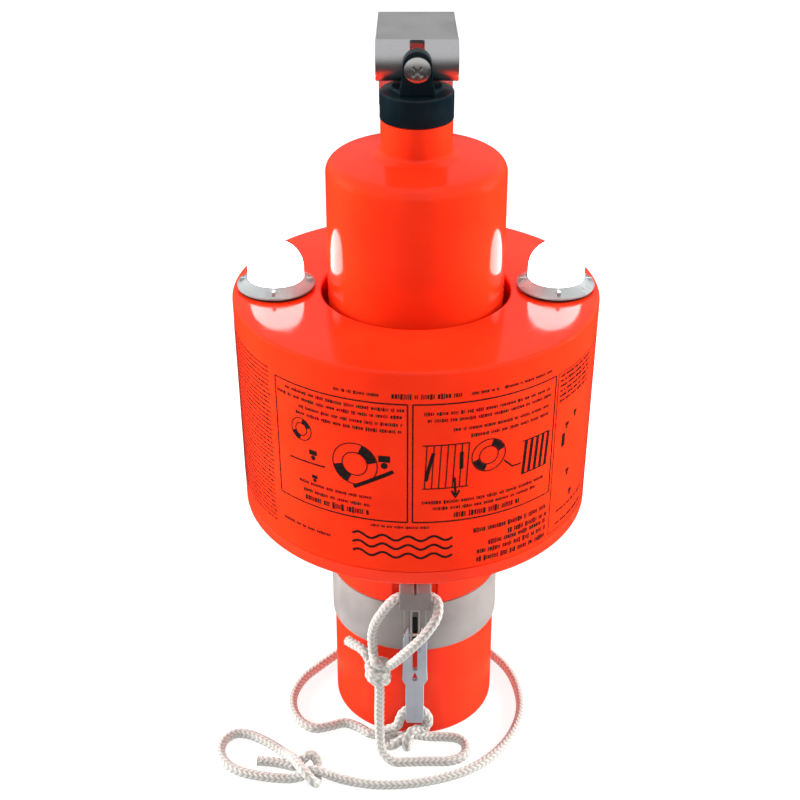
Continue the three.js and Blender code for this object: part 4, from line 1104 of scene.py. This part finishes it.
def label():
    """Two framed panels of pictures and small print, a third beyond them, and rows above and below."""
    random.seed(7)
    ink = Ink()
    low, high = 189.3, 260
    ink.frame(-47, -2.8, low, high, 0.75)
    ink.frame(-1.3, 46, low, high, 0.75)
    ink.frame(47.2, 76, 160, high, 0.45)
    for start, end in ((-25, -11), (15.8, 24.5), (26, 44)):
        ink.words(start, end, 264.5, 1.9)
    ink.words(-7.4, 12.9, 264.5, 2.3, 0.75)
    # left panel
    for start, end, z in ((-42.6, -3.8, 256.5), (-46.2, -4, 252.5), (-37.5, -4.2, 248), (-38.7, -4.2, 244),
                          (-38.5, -12.5, 202.8), (-36.8, -14.2, 198)):
        ink.words(start, end, z, 2.1)
    ink.words(-36.3, -14.2, 193.4, 2.6, 0.85)
    lifebuoy(ink, -36.9, 234.4, 6.5, (20, 200))
    lifebuoy(ink, -18.8, 222.2, 12.3, (10, 190))
    person(ink, -32.8, 221.4, 7)
    person(ink, -32.5, 207, 5)
    person(ink, -9.7, 226, 9)
    ink.stroke(0.9, (-42, 215), (-28.6, 215.9))
    ink.stroke(2.2, (-19.2, 208.3), (-7, 220.2))
    # right panel
    for start, end, z in ((2, 44, 254.5), (3, 44, 250.5), (10.7, 44, 244.6), (16, 44, 240),
                          (1.5, 43, 201.5), (4.9, 39.9, 197.6)):
        ink.words(start, end, z, 2.1)
    ink.words(11.3, 33.6, 192.9, 2.6, 0.85)
    lifebuoy(ink, 21.8, 226.5, 9.5, (15, 195))
    slats = 5
    for k in range(slats):
        angle = 34 + 9 * k / (slats - 1)
        ink.line([(ink.across(angle), 209), (ink.across(angle) + 1.5, 229)], 1.9)
    for z in (209, 229):
        ink.bar(33.4, 43.8, z, 0.7)
    ink.stroke(0.9, (27, 221), (30, 216), (33, 216))
    slats = 7
    for k in range(slats):
        angle = 2.2 + 12.6 * k / (slats - 1)
        ink.line([(ink.across(angle), 210), (ink.across(angle) + 1.2, 236)], 0.6)
    for z in (210, 236):
        ink.bar(1.6, 15.4, z, 0.6)
    ink.stroke(1.9, (4.8, 231.5), (3.4, 222), (2.6, 214.8))
    ink.stroke(2, (13.2, 221), (13.2, 231))
    ink.stroke(1.3, (11.2, 216), (11.6, 205))
    ink.stroke(1.1, (10.4, 208), (11.6, 203.6), (12.8, 208))
    # below the panels
    ink.words(-46, -27, 173.5, 2.0)
    for z in (168, 173.5, 179):
        waves(ink, -20, 11, z)
    ink.words(-14, 4, 186, 1.6)
    for start, z in ((17.7, 181), (29.6, 175.6), (22.8, 171.6), (19.1, 167), (19, 162)):
        ink.words(start, 45.5, z, 2.3, 0.8)
    # third panel and the far left
    for z in np.arange(258, 242, -3):
        ink.words(48.4, 67, float(z), 1.7)
    ink.stroke(3, (52, 213), (52, 221))
    for angle, z in ((53.6, 225), (58.4, 229), (56, 194), (59, 178.6)):
        person(ink, angle, z, 5)
    ink.words(51, 70, 172, 1.7)
    ink.words(51, 70, 164, 1.7)
    for z in np.arange(262, 165, -2.7):
        ink.words(-84, -50.2, float(z), 1.0)
    piece("float_label", mesh_of(ink.vertices, ink.faces), INK, "signal")


# ---- setting ----
def pale_floor():
    half = 6
    corners = [(-half, -half, 0), (half, -half, 0), (half, half, 0), (-half, half, 0)]
    made = placed("floor", mesh_of(corners, [(0, 1, 2, 3)]))
    s = Shader("pale_floor", Roughness=0.9, IOR=1.2, Emission_Strength=0.8, Emission_Color=(1, 1, 1, 1))
    s.feed("Base Color", s.ramp(s.noise(3, 2), (0.3, (0.27, 0.28, 0.28)), (0.7, (0.32, 0.33, 0.32))))
    made.data.materials.append(s.material)
    made.visible_glossy = False


def studio_wall():
    """A glowing round wall behind everything; it lights and reflects nothing."""
    sides, radius, height = 96, 5.9, 6
    ring = [(radius * math.cos(2 * math.pi * k / sides), radius * math.sin(2 * math.pi * k / sides))
            for k in range(sides)]
    vertices = [(x, y, z) for z in (0, height) for x, y in ring]
    faces = [(k, (k + 1) % sides, sides + (k + 1) % sides, sides + k) for k in range(sides)]
    wall = placed("studio_wall", mesh_of(vertices, faces))
    s = Shader("wall_glow", Roughness=1.0, Emission_Strength=1.0)
    s.feed("Base Color", s.ramp(s.noise(2, 2), (0.3, (0.30, 0.30, 0.30)), (0.7, (0.34, 0.34, 0.34))))
    s.feed("Emission Color", s.ramp(s.noise(1, 1), (0.3, (0.96, 0.97, 0.97)), (0.7, (1, 1, 1))))
    wall.data.materials.append(s.material)
    wall.visible_diffuse = wall.visible_glossy = wall.visible_transmission = wall.visible_shadow = False


def studio_light():
    """A pale room, dark below the horizon, and four broad soft lights that leave no reflection."""
    world = bpy.data.worlds.new("white_room")
    world.use_nodes = True
    tree = world.node_tree
    background = tree.nodes["Background"]
    direction = tree.nodes.new("ShaderNodeTexCoord")
    parts = tree.nodes.new("ShaderNodeSeparateXYZ")
    fade = tree.nodes.new("ShaderNodeMapRange")
    fade.interpolation_type = "SMOOTHSTEP"
    for socket, value in (("From Min", -0.25), ("From Max", 0.55), ("To Min", 0.04), ("To Max", 0.56)):
        fade.inputs[socket].default_value = value
    tree.links.new(direction.outputs["Generated"], parts.inputs[0])
    tree.links.new(parts.outputs["Z"], fade.inputs["Value"])
    tree.links.new(fade.outputs["Result"], background.inputs["Strength"])
    background.inputs["Color"].default_value = (1, 1, 1, 1)
    bpy.context.scene.world = world
    centre = Vector((0, 0, 0.2))
    for name, place, size, power in (("front_softbox", (0.2, -2.0, 1.3), 1.6, 11),
                                     ("top_softbox", (0, -0.3, 2.2), 1.2, 14),
                                     ("left_softbox", (-1.6, 0.3, 0.5), 0.9, 68),
                                     ("right_softbox", (1.6, 0.3, 0.5), 0.9, 68)):
        data = bpy.data.lights.new(name, "AREA")
        data.shape = "DISK"
        data.size = size
        data.energy = power
        light = placed(name, data)
        light.location = place
        light.rotation_euler = (centre - light.location).to_track_quat("-Z", "Y").to_euler()
        light.visible_glossy = False
    bpy.context.scene.view_settings.view_transform = "Standard"


# ---- build ----
add_camera()
finish_cad_nodes()
rope("lanyard_main", MAIN_ROUTE, ["lanyard_drop", "lanyard_lever_loop", "lanyard_long_run",
                                          "lanyard_end_loop", "lanyard_knot_lever", "lanyard_knot_end"])
rope("lanyard_return", RETURN_ROUTE, ["lanyard_block_loop", "lanyard_knot_upper"])
canister()
float_shell()
float_underside()
base_cup()
clamp_band()
lamp("left", -LAMP_OFFSET)
lamp("right", LAMP_OFFSET)
rope_block()
lever_housing()
release_lever()
return_spring()
pull_off_cap()
cap_screw()
hanger()
label()
pale_floor()
studio_wall()
studio_light()
